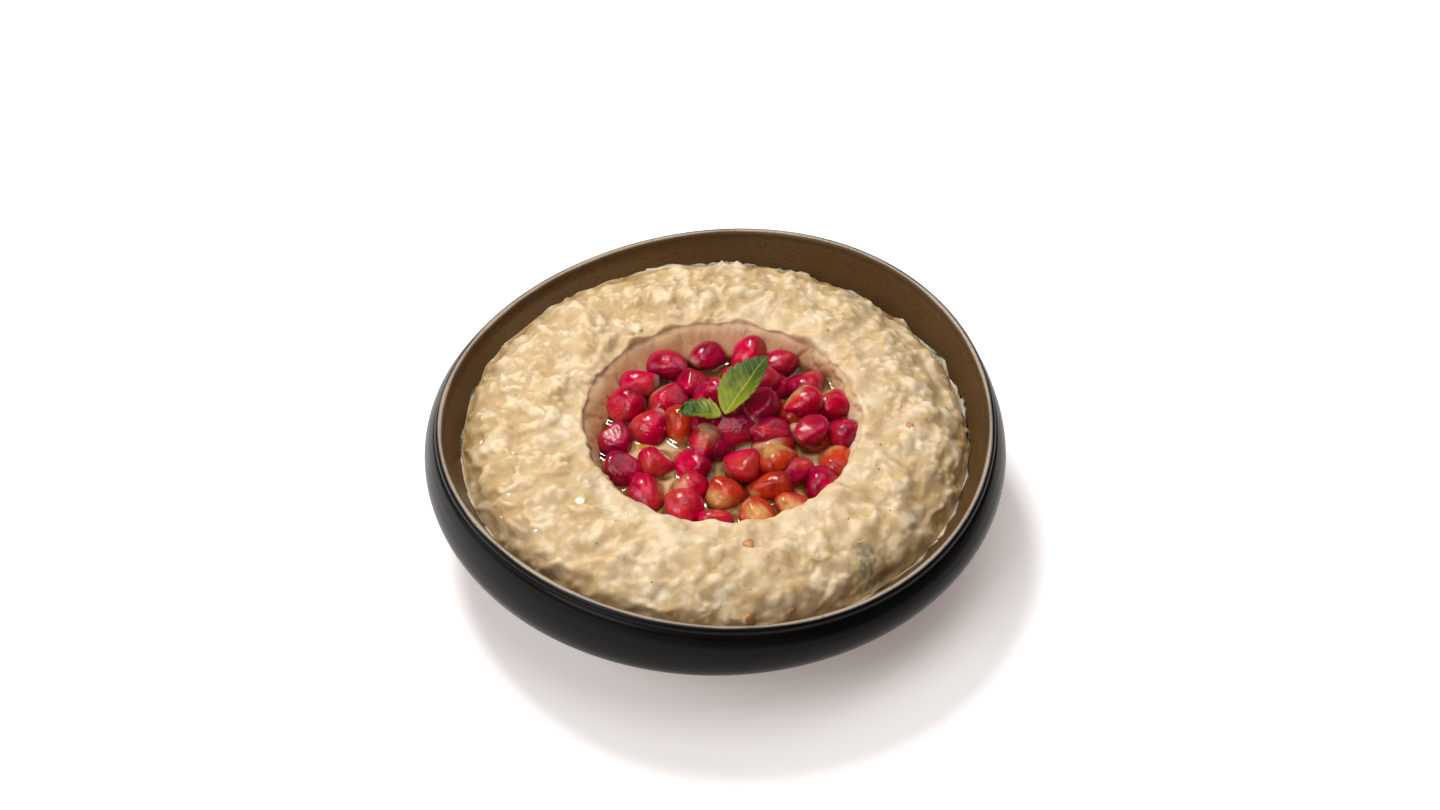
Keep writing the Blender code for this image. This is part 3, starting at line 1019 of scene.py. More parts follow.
            # Painted shade: brown along the brow's edge on the back side
            vertex[layers["well"]] = 0.45 * smooth_step(share, 0.45, 1.0) * smooth_step(side, -0.4, 0.5)
        elif zone is Zone.FLOOR:
            off = (vertex.co.xy - self.bare_spot).length
            side = (vertex.co.xy - self.well.centre.xy).dot(self.well.deep_side)
            # Painted shade: brown on the well's floor towards the back side
            vertex[layers["well"]] = 0.9 * smooth_step(side, 9.0 * MM, 24.0 * MM)
            pale = smooth_step(off, 18.0 * MM, 6.0 * MM)
            vertex[layers["milky"]] = max(pale, 0.8 * smooth_step(side, 18.0 * MM, 2.0 * MM))
            vertex[layers["wet"]] = 1.0
        elif zone is Zone.FILM:
            vertex[layers["wet"]] = 1.0
            vertex[layers["hollow"]] = 0.1
        elif zone is Zone.SLOPE:
            vertex[layers["wet"]] = smooth_step(share, 0.3, 0.0)
            # Painted shade at the foot where the dip meets the wall, partly oil soaking in
            vertex[layers["foot_soak_and_shade"]] = 1.3 * smooth_step(share, 0.42, 0.05)
            patch = (vertex.co.xy - self.smoke_patch).length / self.smoke_radius
            speck = 0.5 + noise.noise(vertex.co / (1.4 * MM))
            smoked = smooth_step(patch, 1.2, 0.3) * smooth_step(speck, 0.35, 0.75)
            vertex[layers["smoked"]] = self.smoke_share * smoked


def spread_ties(outline: Outline) -> Outline:
    """Part stations that share a place by a hair, so that merging doubles keeps them all.

    Args:
        outline: The outline.

    Returns:
        The outline with each repeated point set a little further in.
    """
    made = [outline[0]]
    for radius, height in outline[1:]:
        while math.dist((radius, height), made[-1]) < 0.02 * MM:
            height += 0.03 * MM
        made.append((radius, height))
    return made


@dataclass(frozen=True)
class Seed:
    """Where one pomegranate seed lies."""

    centre: Vector
    heading: float
    tilt: float

    def turned(self) -> Matrix:
        """The rotation from the seed's own axes to the dish's."""
        return Matrix.Rotation(self.heading, 3, "Z") @ Matrix.Rotation(self.tilt, 3, "Y")


@dataclass
class SeedHeap:
    """Pomegranate seeds: a layer spread over the well's floor and some lying on top of it.

    The half sizes of a kernel and of the core, and the rings' radii, are in millimetres.
    """

    well: Well
    size: Vector = field(default_factory=lambda: Vector((11.8, 9.2, 8.2)) * MM)
    middle: Vector = field(default_factory=lambda: Vector((1.8, -1.6)) * MM)
    rings: tuple[tuple[int, float], ...] = ((18, 29.5), (12, 20.5), (6, 11.5), (2, 3.5))
    top_rings: tuple[tuple[int, float], ...] = ((8, 14.0), (3, 5.0))
    top_centre: Vector = field(default_factory=lambda: Vector((8.0, 0.0)) * MM)
    nudge: float = 1.8 * MM
    pitch: float = 8.9 * MM
    reach: float = 29.6 * MM
    stacked_pitch: float = 8.0 * MM
    stacked_sink: float = 0.42
    sink: float = 1.0 * MM
    settle_rounds: int = 40
    layout_draw: int = 11
    looks_draw: int = 328
    facets: int = 8
    softness: float = 15.0
    widest: float = 1.06
    kernel_half: tuple[float, float, float] = (3.0, 1.7, 1.5)
    core_half: tuple[float, float] = (17.0, 15.0)
    core_rise: float = 4.2
    core_sunk: float = 0.4
    seeds: list[Seed] = field(default_factory=list)

    def __post_init__(self) -> None:
        """Lay the seeds out."""
        draw = random.Random(self.layout_draw)
        floor = self.spread(self.ring_spots(self.rings, self.middle, draw))
        top = self.spread(self.ring_spots(self.top_rings, self.top_centre, draw))
        for spot in floor + top:
            height = self.well.floor + 0.5 * self.size.z - self.sink
            for under in self.seeds:
                away = (under.centre - self.well.centre).xy - spot
                if away.length < self.stacked_pitch:
                    lift = math.sqrt(self.stacked_pitch**2 - away.length_squared)
                    height = max(height, under.centre.z + self.stacked_sink * lift)
            centre = self.well.centre + Vector((spot.x, spot.y, height))
            heading = draw.uniform(0.0, 2.0 * math.pi)
            self.seeds.append(Seed(centre, heading, math.radians(draw.uniform(-35.0, 35.0))))

    def ring_spots(
        self, rings: Iterable[tuple[int, float]], centre: Vector, draw: random.Random
    ) -> list[Vector]:
        """Places on rings round a centre, each ring turned and each place nudged by chance.

        Args:
            rings: For each ring the number of seeds and its radius in millimetres.
            centre: The rings' centre from the well's.
            draw: The source of chance.

        Returns:
            The places, from the well's centre.
        """
        spots = []
        for count, radius in rings:
            start = draw.uniform(0.0, 2.0 * math.pi)
            for i in range(count):
                turn = start + 2.0 * math.pi * i / count
                nudge = Vector((draw.uniform(-1.0, 1.0), draw.uniform(-1.0, 1.0))) * self.nudge
                spots.append(centre + Vector((math.cos(turn), math.sin(turn))) * radius * MM + nudge)
        return spots

    def spread(self, spots: list[Vector]) -> list[Vector]:
        """Push places apart to the pitch, away from the bare spot and in from the well's wall.

        Args:
            spots: The places, which are moved.

        Returns:
            The same places.
        """
        for _ in range(self.settle_rounds):
            for i, spot in enumerate(spots):
                others = [(other, self.pitch) for j, other in enumerate(spots) if j != i]
                for other, reach in others + [(self.well.bare_spot, self.well.bare_radius)]:
                    away = spot - other
                    if 0.0 < away.length < reach:
                        spot += away.normalized() * 0.35 * (reach - away.length)
                off = spot - self.middle
                if off.length > self.reach:
                    spot -= off * (1.0 - self.reach / off.length)
        return spots

    def gap_to(self, place: Vector) -> float:
        """How far a place is from the nearest seed's side, taking each as its plain ellipsoid."""
        nearest = self.size.x
        for seed in self.seeds:
            off = place - seed.centre
            if off.xy.length > self.size.x:
                continue
            own = seed.turned().transposed() @ off
            ball = Vector((2.0 * own.x / self.size.x, 2.0 * own.y / self.size.y, 2.0 * own.z / self.size.z))
            nearest = min(nearest, (ball.length - 1.0) * 0.25 * (self.size.y + self.size.z))
        return nearest

    def ripeness(self, seed: Seed, draw: random.Random) -> Ripeness:
        """Choose how a seed looks: more amber ones to the front and right of the well."""
        off = (seed.centre - self.well.centre) / self.reach
        amber = 0.07 + 0.4 * smooth_step(0.6 * off.x - off.y, 0.4, 1.1)
        chance = draw.random()
        if chance < amber:
            return Ripeness.AMBER
        if chance < amber + 0.22:
            return Ripeness.BLUSH
        return Ripeness.BRIGHT if chance < amber + 0.5 else Ripeness.DEEP

    def paint(
        self, look: Ripeness, towards: Vector, up: Vector, draw: random.Random
    ) -> Callable[[Vector], tuple[float, ...]]:
        """Choose a seed's colours.

        Args:
            look: Its ripeness.
            towards: The side, in the seed's axes, on which its kernel lies close under the skin.
            up: Which way is up in the seed's axes, for a painted shade that darkens its lower side.
            draw: The source of chance.

        Returns:
            A function from a direction in the seed's axes to a colour there.
        """
        *codes, strength = {
            Ripeness.DEEP: ("#de004c", "#a0003c", "#e81848", 0.25),
            Ripeness.BRIGHT: ("#fa0050", "#d00040", "#f4684c", 0.4),
            Ripeness.AMBER: ("#e8481c", "#c80c18", "#fcc070", 0.9),
            Ripeness.BLUSH: ("#f40044", "#cc0038", "#fecc9c", 0.9),
        }[look]
        flesh, dark, core = (linear(code) for code in codes)
        glow, tip, blood, underside_shade = (linear(code) for code in ("#e8482c", "#f6c8b0", "#a0042c", "#74001c"))
        tip_share = draw.choice((0.0, 0.0, 0.5, 0.9))

        def colour(way: Vector) -> tuple[float, ...]:
            """The colour on the side of the seed that faces this way."""
            cloud = 0.5 + 0.6 * noise.noise(way * 2.3 + towards * 9.0)
            streak = noise.noise(Vector((way.x * 1.5, way.y * 6.0, way.z * 6.0)) + towards * 5.0)
            made = blend_colours(flesh, dark, smooth_step(cloud, 0.35, 0.85))
            flat = Vector((0.55 * way.x, way.y, way.z)).normalized()
            near = flat.dot(towards) + 0.4 * (cloud - 0.5) + 0.12 * streak
            made = blend_colours(made, glow, strength * smooth_step(near, 0.32, 0.75))
            made = blend_colours(made, core, strength * smooth_step(near, 0.62, 1.02))
            made = blend_colours(made, blood, 0.65 * smooth_step(near, 0.1, -0.6))
            # Painted shade: deeper red on the underside of each seed
            made = blend_colours(made, underside_shade, 0.85 * smooth_step(way.dot(up), 0.45, -0.3))
            return blend_colours(made, tip, tip_share * smooth_step(way.x, 0.72, 0.98))

        return colour

    def shape_seed(self, shape: bmesh.types.BMesh, seed: Seed, draw: random.Random) -> None:
        """Add one seed: a soft many-faced drop, pressed flat where its neighbours grew.

        Args:
            shape: The bmesh that it goes into, with the colour layer "flesh".
            seed: Where it lies.
            draw: The source of chance.
        """
        faces = []
        for _ in range(self.facets):
            way = Vector([draw.gauss(0.0, 1.0) for _ in range(3)]).normalized()
            faces.append((way, draw.uniform(0.73, 1.0)))
        scale = draw.uniform(0.9, 1.1)
        half = self.size * 0.5 * scale
        spans = ((-0.8, 0.8), (-1.0, 1.0), (-0.2, 1.0))
        towards = Vector([draw.uniform(low, high) for low, high in spans]).normalized()
        turned = seed.turned()
        up = turned.transposed() @ Vector((0.0, 0.0, 1.0))
        colour = self.paint(self.ripeness(seed, draw), towards, up, draw)
        layer = shape.verts.layers.float_color["flesh"]
        made = bmesh.ops.create_icosphere(shape, subdivisions=4, radius=1.0)
        for vertex in made["verts"]:
            way = vertex.co.normalized()
            press = self.widest**-self.softness
            press += sum(max(0.0, way.dot(face) / reach) ** self.softness for face, reach in faces)
            body = way * press ** (-1.0 / self.softness)
            taper = 1.0 - 0.2 * body.x - 0.1 * body.x * abs(body.x)
            grown = Vector((body.x * half.x, body.y * half.y * taper, body.z * half.z * taper))
            vertex.co = seed.centre + turned @ grown
            vertex[layer] = (*colour(way)[:3], 1.0)

    def shape_kernels(self) -> bmesh.types.BMesh:
        """Shape the kernel inside every seed, nearer to its pointed end."""
        draw = random.Random(self.looks_draw + 1)
        shape = bmesh.new()
        long, wide, high = self.kernel_half
        for seed in self.seeds:
            off = Vector((0.1, draw.uniform(-0.08, 0.08), draw.uniform(0.0, 0.12))) * self.size.x
            made = bmesh.ops.create_icosphere(shape, subdivisions=3, radius=1.0)
            for vertex in made["verts"]:
                way = vertex.co.normalized()
                taper = 1.0 - 0.35 * way.x
                grown = Vector((way.x * long, way.y * wide * taper, way.z * high * taper)) * MM
                vertex.co = seed.centre + seed.turned() @ (grown + off)
        return shape

    def shape_core(self) -> bmesh.types.BMesh:
        """Shape the low mound of oily dip that carries the upper seeds."""
        shape = bmesh.new()
        made = bmesh.ops.create_icosphere(shape, subdivisions=5, radius=1.0)
        middle = self.well.centre + Vector((*self.top_centre, self.well.floor - 0.5 * MM))
        long, wide = self.core_half
        for vertex in made["verts"]:
            way = vertex.co.normalized()
            lump = 1.0 + 0.12 * noise.noise(way * 4.0)
            high = self.core_rise if way.z > 0.0 else self.core_sunk
            vertex.co = middle + Vector((way.x * long, way.y * wide, way.z * high)) * lump * MM
        return shape

    def build(self) -> list[bpy.types.Object]:
        """Shape every seed and kernel, join each kind as one piece, and add the core."""
        draw = random.Random(self.looks_draw)
        shape = bmesh.new()
        shape.verts.layers.float_color.new("flesh")
        for seed in self.seeds:
            self.shape_seed(shape, seed, draw)
        node = ["pomegranate_seeds"]
        return [
            publish("pomegranate_arils", shape, JuicySeedFlesh().make(), node),
            publish("pomegranate_kernels", self.shape_kernels(), WoodyKernel().make(), node),
            publish("seed_bed_core", self.shape_core(), AubergineMash().make(), node),
        ]


@dataclass
class OilPond:
    """Olive oil in the well, drawn up a little along the wall and round every seed."""

    well: Well
    heap: SeedHeap
    reach: float = 34.2 * MM
    rings: int = 64
    climb: float = 0.5 * MM
    climb_width: float = 0.55 * MM
    bed: float = 1.5 * MM

    def build(self) -> bpy.types.Object:
        """Swell a divided hexagon to a disc, draw its top up at what it wets, and close it below."""
        shape = bmesh.new()
        bmesh.ops.create_circle(shape, cap_ends=True, cap_tris=True, radius=self.reach, segments=6)
        bmesh.ops.subdivide_edges(shape, edges=shape.edges[:], cuts=self.rings - 1, use_grid_fill=True)
        clouded = shape.verts.layers.float.new("clouded")
        sixth = math.pi / 3.0
        tips = [vertex.co for vertex in shape.verts if vertex.co.length > 0.999 * self.reach]
        corner = min(math.atan2(tip.y, tip.x) % sixth for tip in tips)
        for vertex in shape.verts:
            turn = (math.atan2(vertex.co.y, vertex.co.x) - corner) % sixth - 0.5 * sixth
            vertex.co *= math.cos(turn) / math.cos(0.5 * sixth)
            place = vertex.co + self.well.centre
            place.z = self.well.oil_level
            side = smooth_step(vertex.co.xy.dot(self.well.deep_side), 16.0 * MM, 2.0 * MM)
            gap = max(0.0, min(self.heap.gap_to(place), self.reach - 0.3 * MM - vertex.co.length))
            vertex[clouded] = side * (0.25 + 0.75 * smooth_step(gap, 0.4 * MM, 2.6 * MM))
            place.z += self.climb * math.exp(-gap / self.climb_width)
            vertex.co = place
        rim = [edge for edge in shape.edges if edge.is_boundary]
        skirt = bmesh.ops.extrude_edge_only(shape, edges=rim)["geom"]
        for vertex in [item for item in skirt if isinstance(item, bmesh.types.BMVert)]:
            vertex.co.z = self.well.floor - self.bed
        bmesh.ops.holes_fill(shape, edges=[edge for edge in shape.edges if edge.is_boundary], sides=0)
        return publish("olive_oil_pond", shape, GreenGoldOil().make(), ["olive_oil"])


@dataclass(frozen=True)
class Leaf:
    """One mint leaf: its size, how it is folded and how it stands."""

    name: str
    node: str
    root: Vector
    length: float
    width: float
    droop: float
    fold: float
    heading: float
    pitch: float
    roll: float
    teeth: int
    veins: int
    crumple: float
    youth: float = 0.95
    thickness: float = 0.3 * MM

    def half_width(self, share: float) -> float:
        """Half of the blade's width at a share of its length, without its teeth."""
        return 0.5 * self.width * math.sin(math.pi * min(1.0, max(0.0, share)) ** 0.9) ** 0.75 + 0.25 * MM

    def stance(self) -> Matrix:
        """The rotation that points the leaf along its heading, tips it up and rolls it."""
        around_z = Matrix.Rotation(math.radians(self.heading), 4, "Z")
        around_y = Matrix.Rotation(math.radians(-self.pitch), 4, "Y")
        around_x = Matrix.Rotation(math.radians(self.roll), 4, "X")
        return Matrix.Translation(self.root) @ around_z @ around_y @ around_x

    def shape_point(self, share: float, side: float) -> tuple[Vector, float]:
        """A place on the blade, before the leaf is turned into its stance.

        Args:
            share: How far along the leaf, from 0 at the stalk to 1 at the tip.
            side: How far across it, from -1 to 1.

        Returns:
            The place, and how much of a vein it is from 0 to 1.
        """
        half = self.half_width(share)
        beat = (share * self.teeth + (0.5 if side > 0.0 else 0.0)) % 1.0
        tooth = 0.8 * MM * (beat - 0.4) * smooth_step(share, 0.12, 0.3) * smooth_step(share, 1.0, 0.9)
        across = side * (half + tooth * abs(side) ** 5)
        wander = 0.5 * MM * noise.noise(Vector((share * 5.0, side * 1.5, self.length / MM)))
        run = share * self.length - 0.8 * abs(across) + wander
        pitch = self.length / self.veins
        phase = (run / pitch) % 1.0
        furrow = math.exp(-((min(phase, 1.0 - phase) * pitch / (0.16 * MM)) ** 2))
        midrib = math.exp(-((across / (0.25 * MM)) ** 2))
        inside = smooth_step(abs(side), 1.0, 0.75) * smooth_step(share, 1.0, 0.85)
        quilt = 0.26 * MM * math.sin(math.pi * phase) * inside * smooth_step(abs(across), 0.0, 0.8 * MM)
        ruffle = noise.noise(Vector((share * 3.0, side * 1.2, self.length / MM + 4.0)))
        crease = 0.5 * MM
        height = self.fold * (math.hypot(across, crease) - crease)
        height -= self.droop * self.length * share * share
        height += quilt - 0.12 * MM * midrib + self.crumple * ruffle * smooth_step(share, 0.0, 0.3)
        vein = max(midrib * (0.8 - 0.5 * share), 0.22 * furrow * smooth_step(abs(side), 1.0, 0.6))
        return Vector((share * self.length, across, height)), vein

    def build(self) -> bpy.types.Object:
        """Grow the blade from a grid, thicken it and turn it into its stance."""
        shape = bmesh.new()
        bmesh.ops.create_grid(shape, x_segments=90, y_segments=40, size=1.0)
        vein = shape.verts.layers.float.new("vein")
        young = shape.verts.layers.float.new("young")
        for vertex in shape.verts:
            share, side = 0.5 * (vertex.co.x + 1.0), vertex.co.y
            vertex.co, vertex[vein] = self.shape_point(share, side)
            vertex[young] = (1.0 - share) * self.youth
        bmesh.ops.recalc_face_normals(shape, faces=shape.faces[:])
        bmesh.ops.solidify(shape, geom=shape.faces[:], thickness=self.thickness)
        bmesh.ops.transform(shape, matrix=self.stance(), verts=shape.verts[:])
        return publish(self.name, shape, MintLeafTissue().make(), [self.node])


@dataclass
class MintSprig:
    """Two leaves of one sprig, springing from the top of the seeds."""

    foot: Vector = field(default_factory=lambda: Vector((2.0, -5.0, 0.0)) * MM)

    def build(self) -> list[bpy.types.Object]:
        """Grow the large leaf and the small one."""
        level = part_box("mint_leaf_large")[0].z + 0.1 * MM
        large = Leaf(
            name="mint_blade_large",
            node="mint_leaf_large",
            root=self.foot + Vector((0.5 * MM, 0.5 * MM, level)),
            length=19.0 * MM,
            width=10.6 * MM,
            droop=0.06,
            fold=0.5,
            heading=54.0,
            pitch=23.0,
            roll=-14.0,
            teeth=9,
            veins=10,
            crumple=0.5 * MM,
        )
        small = Leaf(
            name="mint_blade_small",
            node="mint_leaf_small",
            root=self.foot + Vector((-0.7 * MM, -0.4 * MM, level)),
            length=10.5 * MM,
            width=8.2 * MM,
            droop=0.08,
            fold=0.25,
            heading=168.0,
            pitch=8.0,
            roll=10.0,
            teeth=5,
            veins=7,
            crumple=1.5 * MM,
        )
        return [large.build(), small.build()]


@dataclass(frozen=True)
class ScrapTissue:
    """A small bit of the aubergine or the seasoning: charred skin, browned flesh, fibre or sesame.

    It breaks up the even cream of the dip, as in any mash made over a flame.
    """

    name: str
    tone: str
    dark: str
    rough: float = 0.45
    grain_size: float = 0.6 * MM

    def make(self) -> bpy.types.Material:
        """Build the bit's two mottled tones."""
        made, tree, shader = start_material(self.name)
        place = add_node(tree, "ShaderNodeTexCoord", "Object")
        pattern = {"Vector": place, "Scale": repeats(self.grain_size), "Detail": 2.0}
        grain = add_node(tree, "ShaderNodeTexNoise", "Fac", pattern)
        tones = {MIX_FACTOR: grain, MIX_FIRST: linear(self.tone), MIX_SECOND: linear(self.dark)}
        feed(
            shader,
            {
                "Base Color": add_node(tree, "ShaderNodeMix", MIX_COLOUR, tones, **COLOUR),
                "Roughness": self.rough,
                "Subsurface Weight": 0.2,
                "Subsurface Scale": 0.5 * MM,
            },
        )
        return made


@dataclass
class Scraps:
    """The small scraps that lie in the dip's surface, one piece for each kind.

    The browned bits' places and half widths, the flake's place and the band are in millimetres.
    """

    dip: bpy.types.Object
    draw: random.Random = field(default_factory=lambda: random.Random(23))
    browned: tuple[tuple[float, float, float], ...] = (
        (8.2, -46.8, 1.3),
        (9.3, -66.6, 1.5),
        (-11.0, -62.5, 1.0),
        (19.2, -61.8, 0.9),
        (-21.9, 26.7, 1.0),
        (50.1, -5.7, 1.1),
        (-19.5, 29.0, 0.6),
    )
    flake: tuple[float, float] = (-33.9, -32.1)
    flake_size: float = 1.6 * MM
    reach: float = 64.5 * MM
    band: tuple[float, float] = (39.0, 63.0)
    drop_height: float = 0.1
    speck_count: int = 34
    browned_count: int = 9
    flake_count: int = 6
    fibre_count: int = 9
    tree: BVHTree = field(init=False)

    def __post_init__(self) -> None:
        """Keep the dip's surface, for dropping scraps on it."""
        mesh = self.dip.data
        places = [vertex.co.copy() for vertex in mesh.vertices]
        self.tree = BVHTree.FromPolygons(places, [tuple(face.vertices) for face in mesh.polygons])

    def drop(self, place: Vector) -> tuple[Vector, Vector]:
        """Find the dip's surface under a place, or under the dip's foot where it lies further out.

        Args:
            place: The place, whose height is not used.

        Returns:
            The point on the surface and its normal.
        """
        inward = min(1.0, self.reach / place.xy.length)
        above = Vector((place.x * inward, place.y * inward, self.drop_height))
        point, normal, _, _ = self.tree.ray_cast(above, Vector((0.0, 0.0, -1.0)))
        return point, normal

    def random_spot(self) -> Vector:
        """A chance place on the ring of dip, clear of the well and the wall."""
        turn = self.draw.uniform(0.0, 2.0 * math.pi)
        reach = self.draw.uniform(*self.band) * MM
        return Vector((math.cos(turn), math.sin(turn), 0.0)) * reach

    def add_bit(self, shape: bmesh.types.BMesh, spot: Vector, size: Vector, sunk: float) -> None:
        """Add one lumpy bit, pressed into the surface.

        Args:
            shape: The bmesh that it goes into.
            spot: Where it lies.
            size: Its half sizes along, across and out of the surface.
            sunk: How deep its middle lies under the surface.
        """
        point, normal = self.drop(spot)
        spin = Matrix.Rotation(self.draw.uniform(0.0, 6.3), 3, "Z")
        turn = normal.to_track_quat("Z", "Y").to_matrix() @ spin
        seed = Vector((self.draw.random(), self.draw.random(), self.draw.random())) * 50.0
        made = bmesh.ops.create_icosphere(shape, subdivisions=2, radius=1.0)
        for vertex in made["verts"]:
            way = vertex.co.normalized()
            lump = 1.0 + 0.5 * noise.noise(way * 1.4 + seed)
            grown = Vector((way.x * size.x, way.y * size.y, way.z * size.z)) * lump
            vertex.co = point - normal * sunk + turn @ grown

    def scatter(
        self,
        shape: bmesh.types.BMesh,
        count: int,
        halves: tuple[float, float],
        form: tuple[float, float],
        sunk: float,
    ) -> None:
        """Scatter bits of one kind by chance.

        Args:
            shape: The bmesh that they go into.
            count: How many.
            halves: The smallest and the largest half width, in millimetres.
            form: How long and how thick a bit is for its width.
            sunk: How deep its middle lies, as a share of its half width.
        """
        long, thick = form
        for _ in range(count):
            half = self.draw.uniform(*halves) * MM
            self.add_bit(shape, self.random_spot(), Vector((half * long, half, half * thick)), sunk * half)

    def add_fibre(self, shape: bmesh.types.BMesh, spot: Vector, length: float, width: float) -> None:
        """Add one soft strand of flesh that follows the surface.

        Args:
            shape: The bmesh that it goes into.
            spot: Its middle.
            length: Its length.
            width: Its thickness.
        """
        heading = self.draw.uniform(0.0, math.pi)
        bend = self.draw.uniform(-1.2, 1.2)
        rings = []
        steps, sides = 14, 6
        for i in range(steps + 1):
            share = i / steps - 0.5
            turn = heading + bend * share
            place = spot + Vector((math.cos(turn), math.sin(turn), 0.0)) * length * share
            point, normal = self.drop(place)
            across = normal.cross(Vector((math.cos(turn), math.sin(turn), 0.0))).normalized()
            thick = 0.5 * width * (1.0 - (2.0 * abs(share)) ** 2.5) + 0.02 * MM
            ring = []
            for k in range(sides):
                angle = 2.0 * math.pi * k / sides
                around = across * math.cos(angle) + normal * (0.7 * math.sin(angle) - 0.35)
                ring.append(shape.verts.new(point + around * thick))
            rings.append(ring)
        for first, second in zip(rings, rings[1:]):
            for k in range(sides):
                last = (k + 1) % sides
                shape.faces.new((first[k], first[last], second[last], second[k]))
        shape.faces.new(rings[0])
        shape.faces.new(rings[-1])

    def build(self) -> list[bpy.types.Object]:
        """Scatter every kind of scrap."""
        specks, browned, flakes, fibres = (bmesh.new() for _ in range(4))
        self.scatter(specks, self.speck_count, (0.08, 0.24), (1.3, 0.6), 0.1)
        for across, along, half in self.browned:
            size = Vector((half * 1.3, half, half * 0.5)) * MM
            self.add_bit(browned, Vector((across, along, 0.0)) * MM, size, 0.45 * size.z)
        self.scatter(browned, self.browned_count, (0.3, 0.7), (1.4, 0.5), 0.3)
        flake = Vector((1.0, 0.7, 0.3)) * self.flake_size
        self.add_bit(flakes, Vector((*self.flake, 0.0)) * MM, flake, 0.1 * MM)
        self.scatter(flakes, self.flake_count, (0.3, 0.6), (1.2, 0.5), 0.1)
        for _ in range(self.fibre_count):
            length = self.draw.uniform(3.0, 7.0) * MM
            self.add_fibre(fibres, self.random_spot(), length, self.draw.uniform(0.35, 0.7) * MM)
        kinds = (
            ("char_specks", specks, ScrapTissue("charred_aubergine_skin", "#6e5a40", "#3c3022", 0.6)),
            ("browned_bits", browned, ScrapTissue("browned_aubergine_flesh", "#cf9a62", "#a8703e")),
            ("sesame_flakes", flakes, ScrapTissue("hulled_sesame", "#fbf2dd", "#f0e2c2")),
            ("aubergine_fibres", fibres, ScrapTissue("aubergine_fibre", "#dcc28a", "#c2a55c", 0.35)),
        )
        return [publish(name, shape, tissue.make()) for name, shape, tissue in kinds]


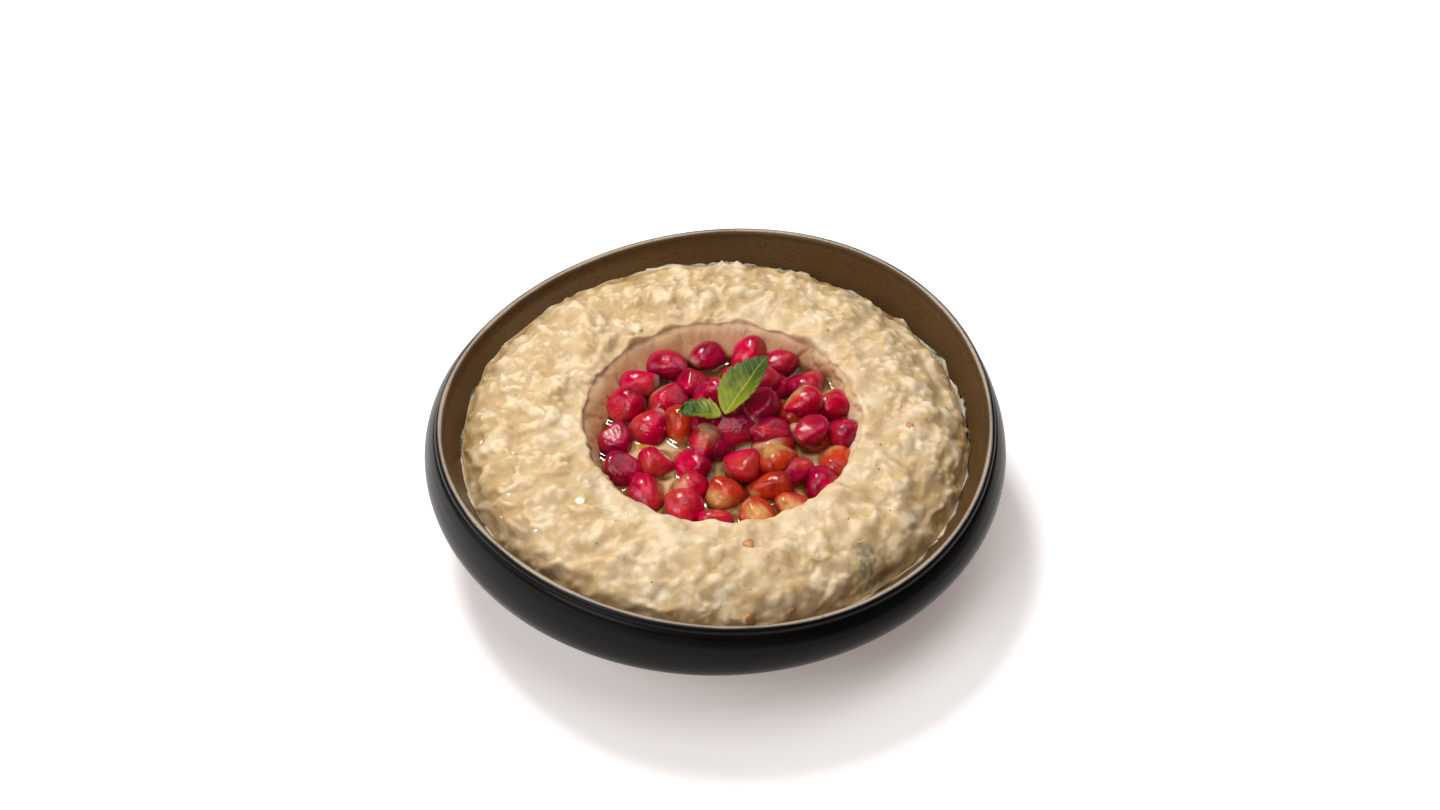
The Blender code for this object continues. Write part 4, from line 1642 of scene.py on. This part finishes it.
@dataclass
class Studio:
    """A white table under a wide window on the left and a soft box behind, and the camera."""

    aim: Vector = field(default_factory=lambda: Vector((1.24, 2.06, 39.99)) * MM)
    distance: float = 878.0 * MM
    elevation: float = math.radians(45.95)
    lens: float = 85.0
    sensor: float = 36.0
    table_glow: str = "#ffeadf"
    table_power: float = 0.26
    table_half: float = 4.0
    table_cloud: float = 60.0 * MM
    lights: tuple[tuple[str, tuple[float, float, float], float, float], ...] = (
        ("window", (-1.54, 0.0, 0.75), 0.9, 4.0),
        ("front_window", (-0.92, -0.92, 1.12), 0.9, 12.0),
        ("soft_box", (-0.46, 0.71, 1.50), 0.42, 20.0),
        ("overhead", (0.0, -0.3, 1.70), 0.9, 7.5),
        ("right_fill", (0.69, 0.69, 1.42), 0.9, 4.0),
    )

    def place_camera(self) -> None:
        """Point a long lens at the dish from the front, looking down on it."""
        data = bpy.data.cameras.new("camera")
        data.lens = self.lens
        data.sensor_width = self.sensor
        camera = bpy.data.objects.new("camera", data)
        back = Vector((0.0, -math.cos(self.elevation), math.sin(self.elevation)))
        camera.location = self.aim + back * self.distance
        camera.rotation_mode = "QUATERNION"
        camera.rotation_quaternion = (-back).to_track_quat("-Z", "Y")
        bpy.context.scene.collection.objects.link(camera)
        bpy.context.scene.camera = camera

    def lay_table(self) -> None:
        """Lay a wide opal acrylic sheet, lit a little from below, which takes a soft shadow."""
        made, tree, shader = start_material("opal_acrylic_table")
        place = add_node(tree, "ShaderNodeTexCoord", "Object")
        pattern = {"Vector": place, "Scale": repeats(self.table_cloud), "Detail": 2.0}
        cloud = add_node(tree, "ShaderNodeTexNoise", "Fac", pattern)
        tones = {MIX_FACTOR: cloud, MIX_FIRST: linear("#f7f6f5"), MIX_SECOND: linear("#fafafa")}
        feed(
            shader,
            {
                "Base Color": add_node(tree, "ShaderNodeMix", MIX_COLOUR, tones, **COLOUR),
                "Roughness": 0.9,
                "Specular IOR Level": 0.1,
                "Emission Color": linear(self.table_glow),
                "Emission Strength": self.table_power,
            },
        )
        shape = bmesh.new()
        bmesh.ops.create_grid(shape, x_segments=1, y_segments=1, size=self.table_half)
        mesh = bpy.data.meshes.new("table")
        shape.to_mesh(mesh)
        shape.free()
        mesh.materials.append(made)
        table = bpy.data.objects.new("table", mesh)
        bpy.context.scene.collection.objects.link(table)

    def hang_light(self, name: str, place: Vector, size: float, power: float) -> None:
        """Hang a square soft box and turn it to the dish.

        Args:
            name: Its name.
            place: Where it hangs.
            size: Its side.
            power: Its power in watts.
        """
        data = bpy.data.lights.new(name, "AREA")
        data.shape = "RECTANGLE"
        data.size = data.size_y = size
        data.energy = power
        light = bpy.data.objects.new(name, data)
        light.location = place
        light.rotation_mode = "QUATERNION"
        light.rotation_quaternion = (self.aim - place).to_track_quat("-Z", "Y")
        bpy.context.scene.collection.objects.link(light)

    def fill_room(self) -> None:
        """Give the room an even pale light that is weaker behind the camera."""
        world = bpy.data.worlds.new("studio")
        world.use_nodes = True
        tree = world.node_tree
        way = add_node(tree, "ShaderNodeTexCoord", "Generated")
        depth = add_node(tree, "ShaderNodeSeparateXYZ", "Y", {0: way})
        fall = {"Value": depth, "From Min": -0.9, "From Max": 0.3, "To Min": 0.03, "To Max": 0.07}
        light = add_node(tree, "ShaderNodeMapRange", "Result", fall, **EASED)
        feed(tree.nodes["Background"], {"Strength": light, "Color": (1.0, 1.0, 1.0, 1.0)})
        bpy.context.scene.world = world

    def build(self) -> None:
        """Set the table, the lights, the room and the camera."""
        self.lay_table()
        for name, place, size, power in self.lights:
            self.hang_light(name, Vector(place), size, power)
        self.fill_room()
        self.place_camera()
        bpy.context.scene.view_settings.view_transform = "Standard"


def main() -> None:
    """Build the dish piece by piece, then the studio."""
    logging.basicConfig(level=logging.INFO, format="%(message)s")
    # Without a seed of its own, noise_vector shifts its noise by the clock
    noise.seed_set(NOISE_SEED)
    bowl = StonewareBowl()
    well = Well()
    heap = SeedHeap(well)
    bowl.build()
    dip = AubergineDip(bowl, well).build()
    OilPond(well, heap).build()
    heap.build()
    MintSprig().build()
    Scraps(dip).build()
    Studio().build()


if __name__ == "__main__":
    main()
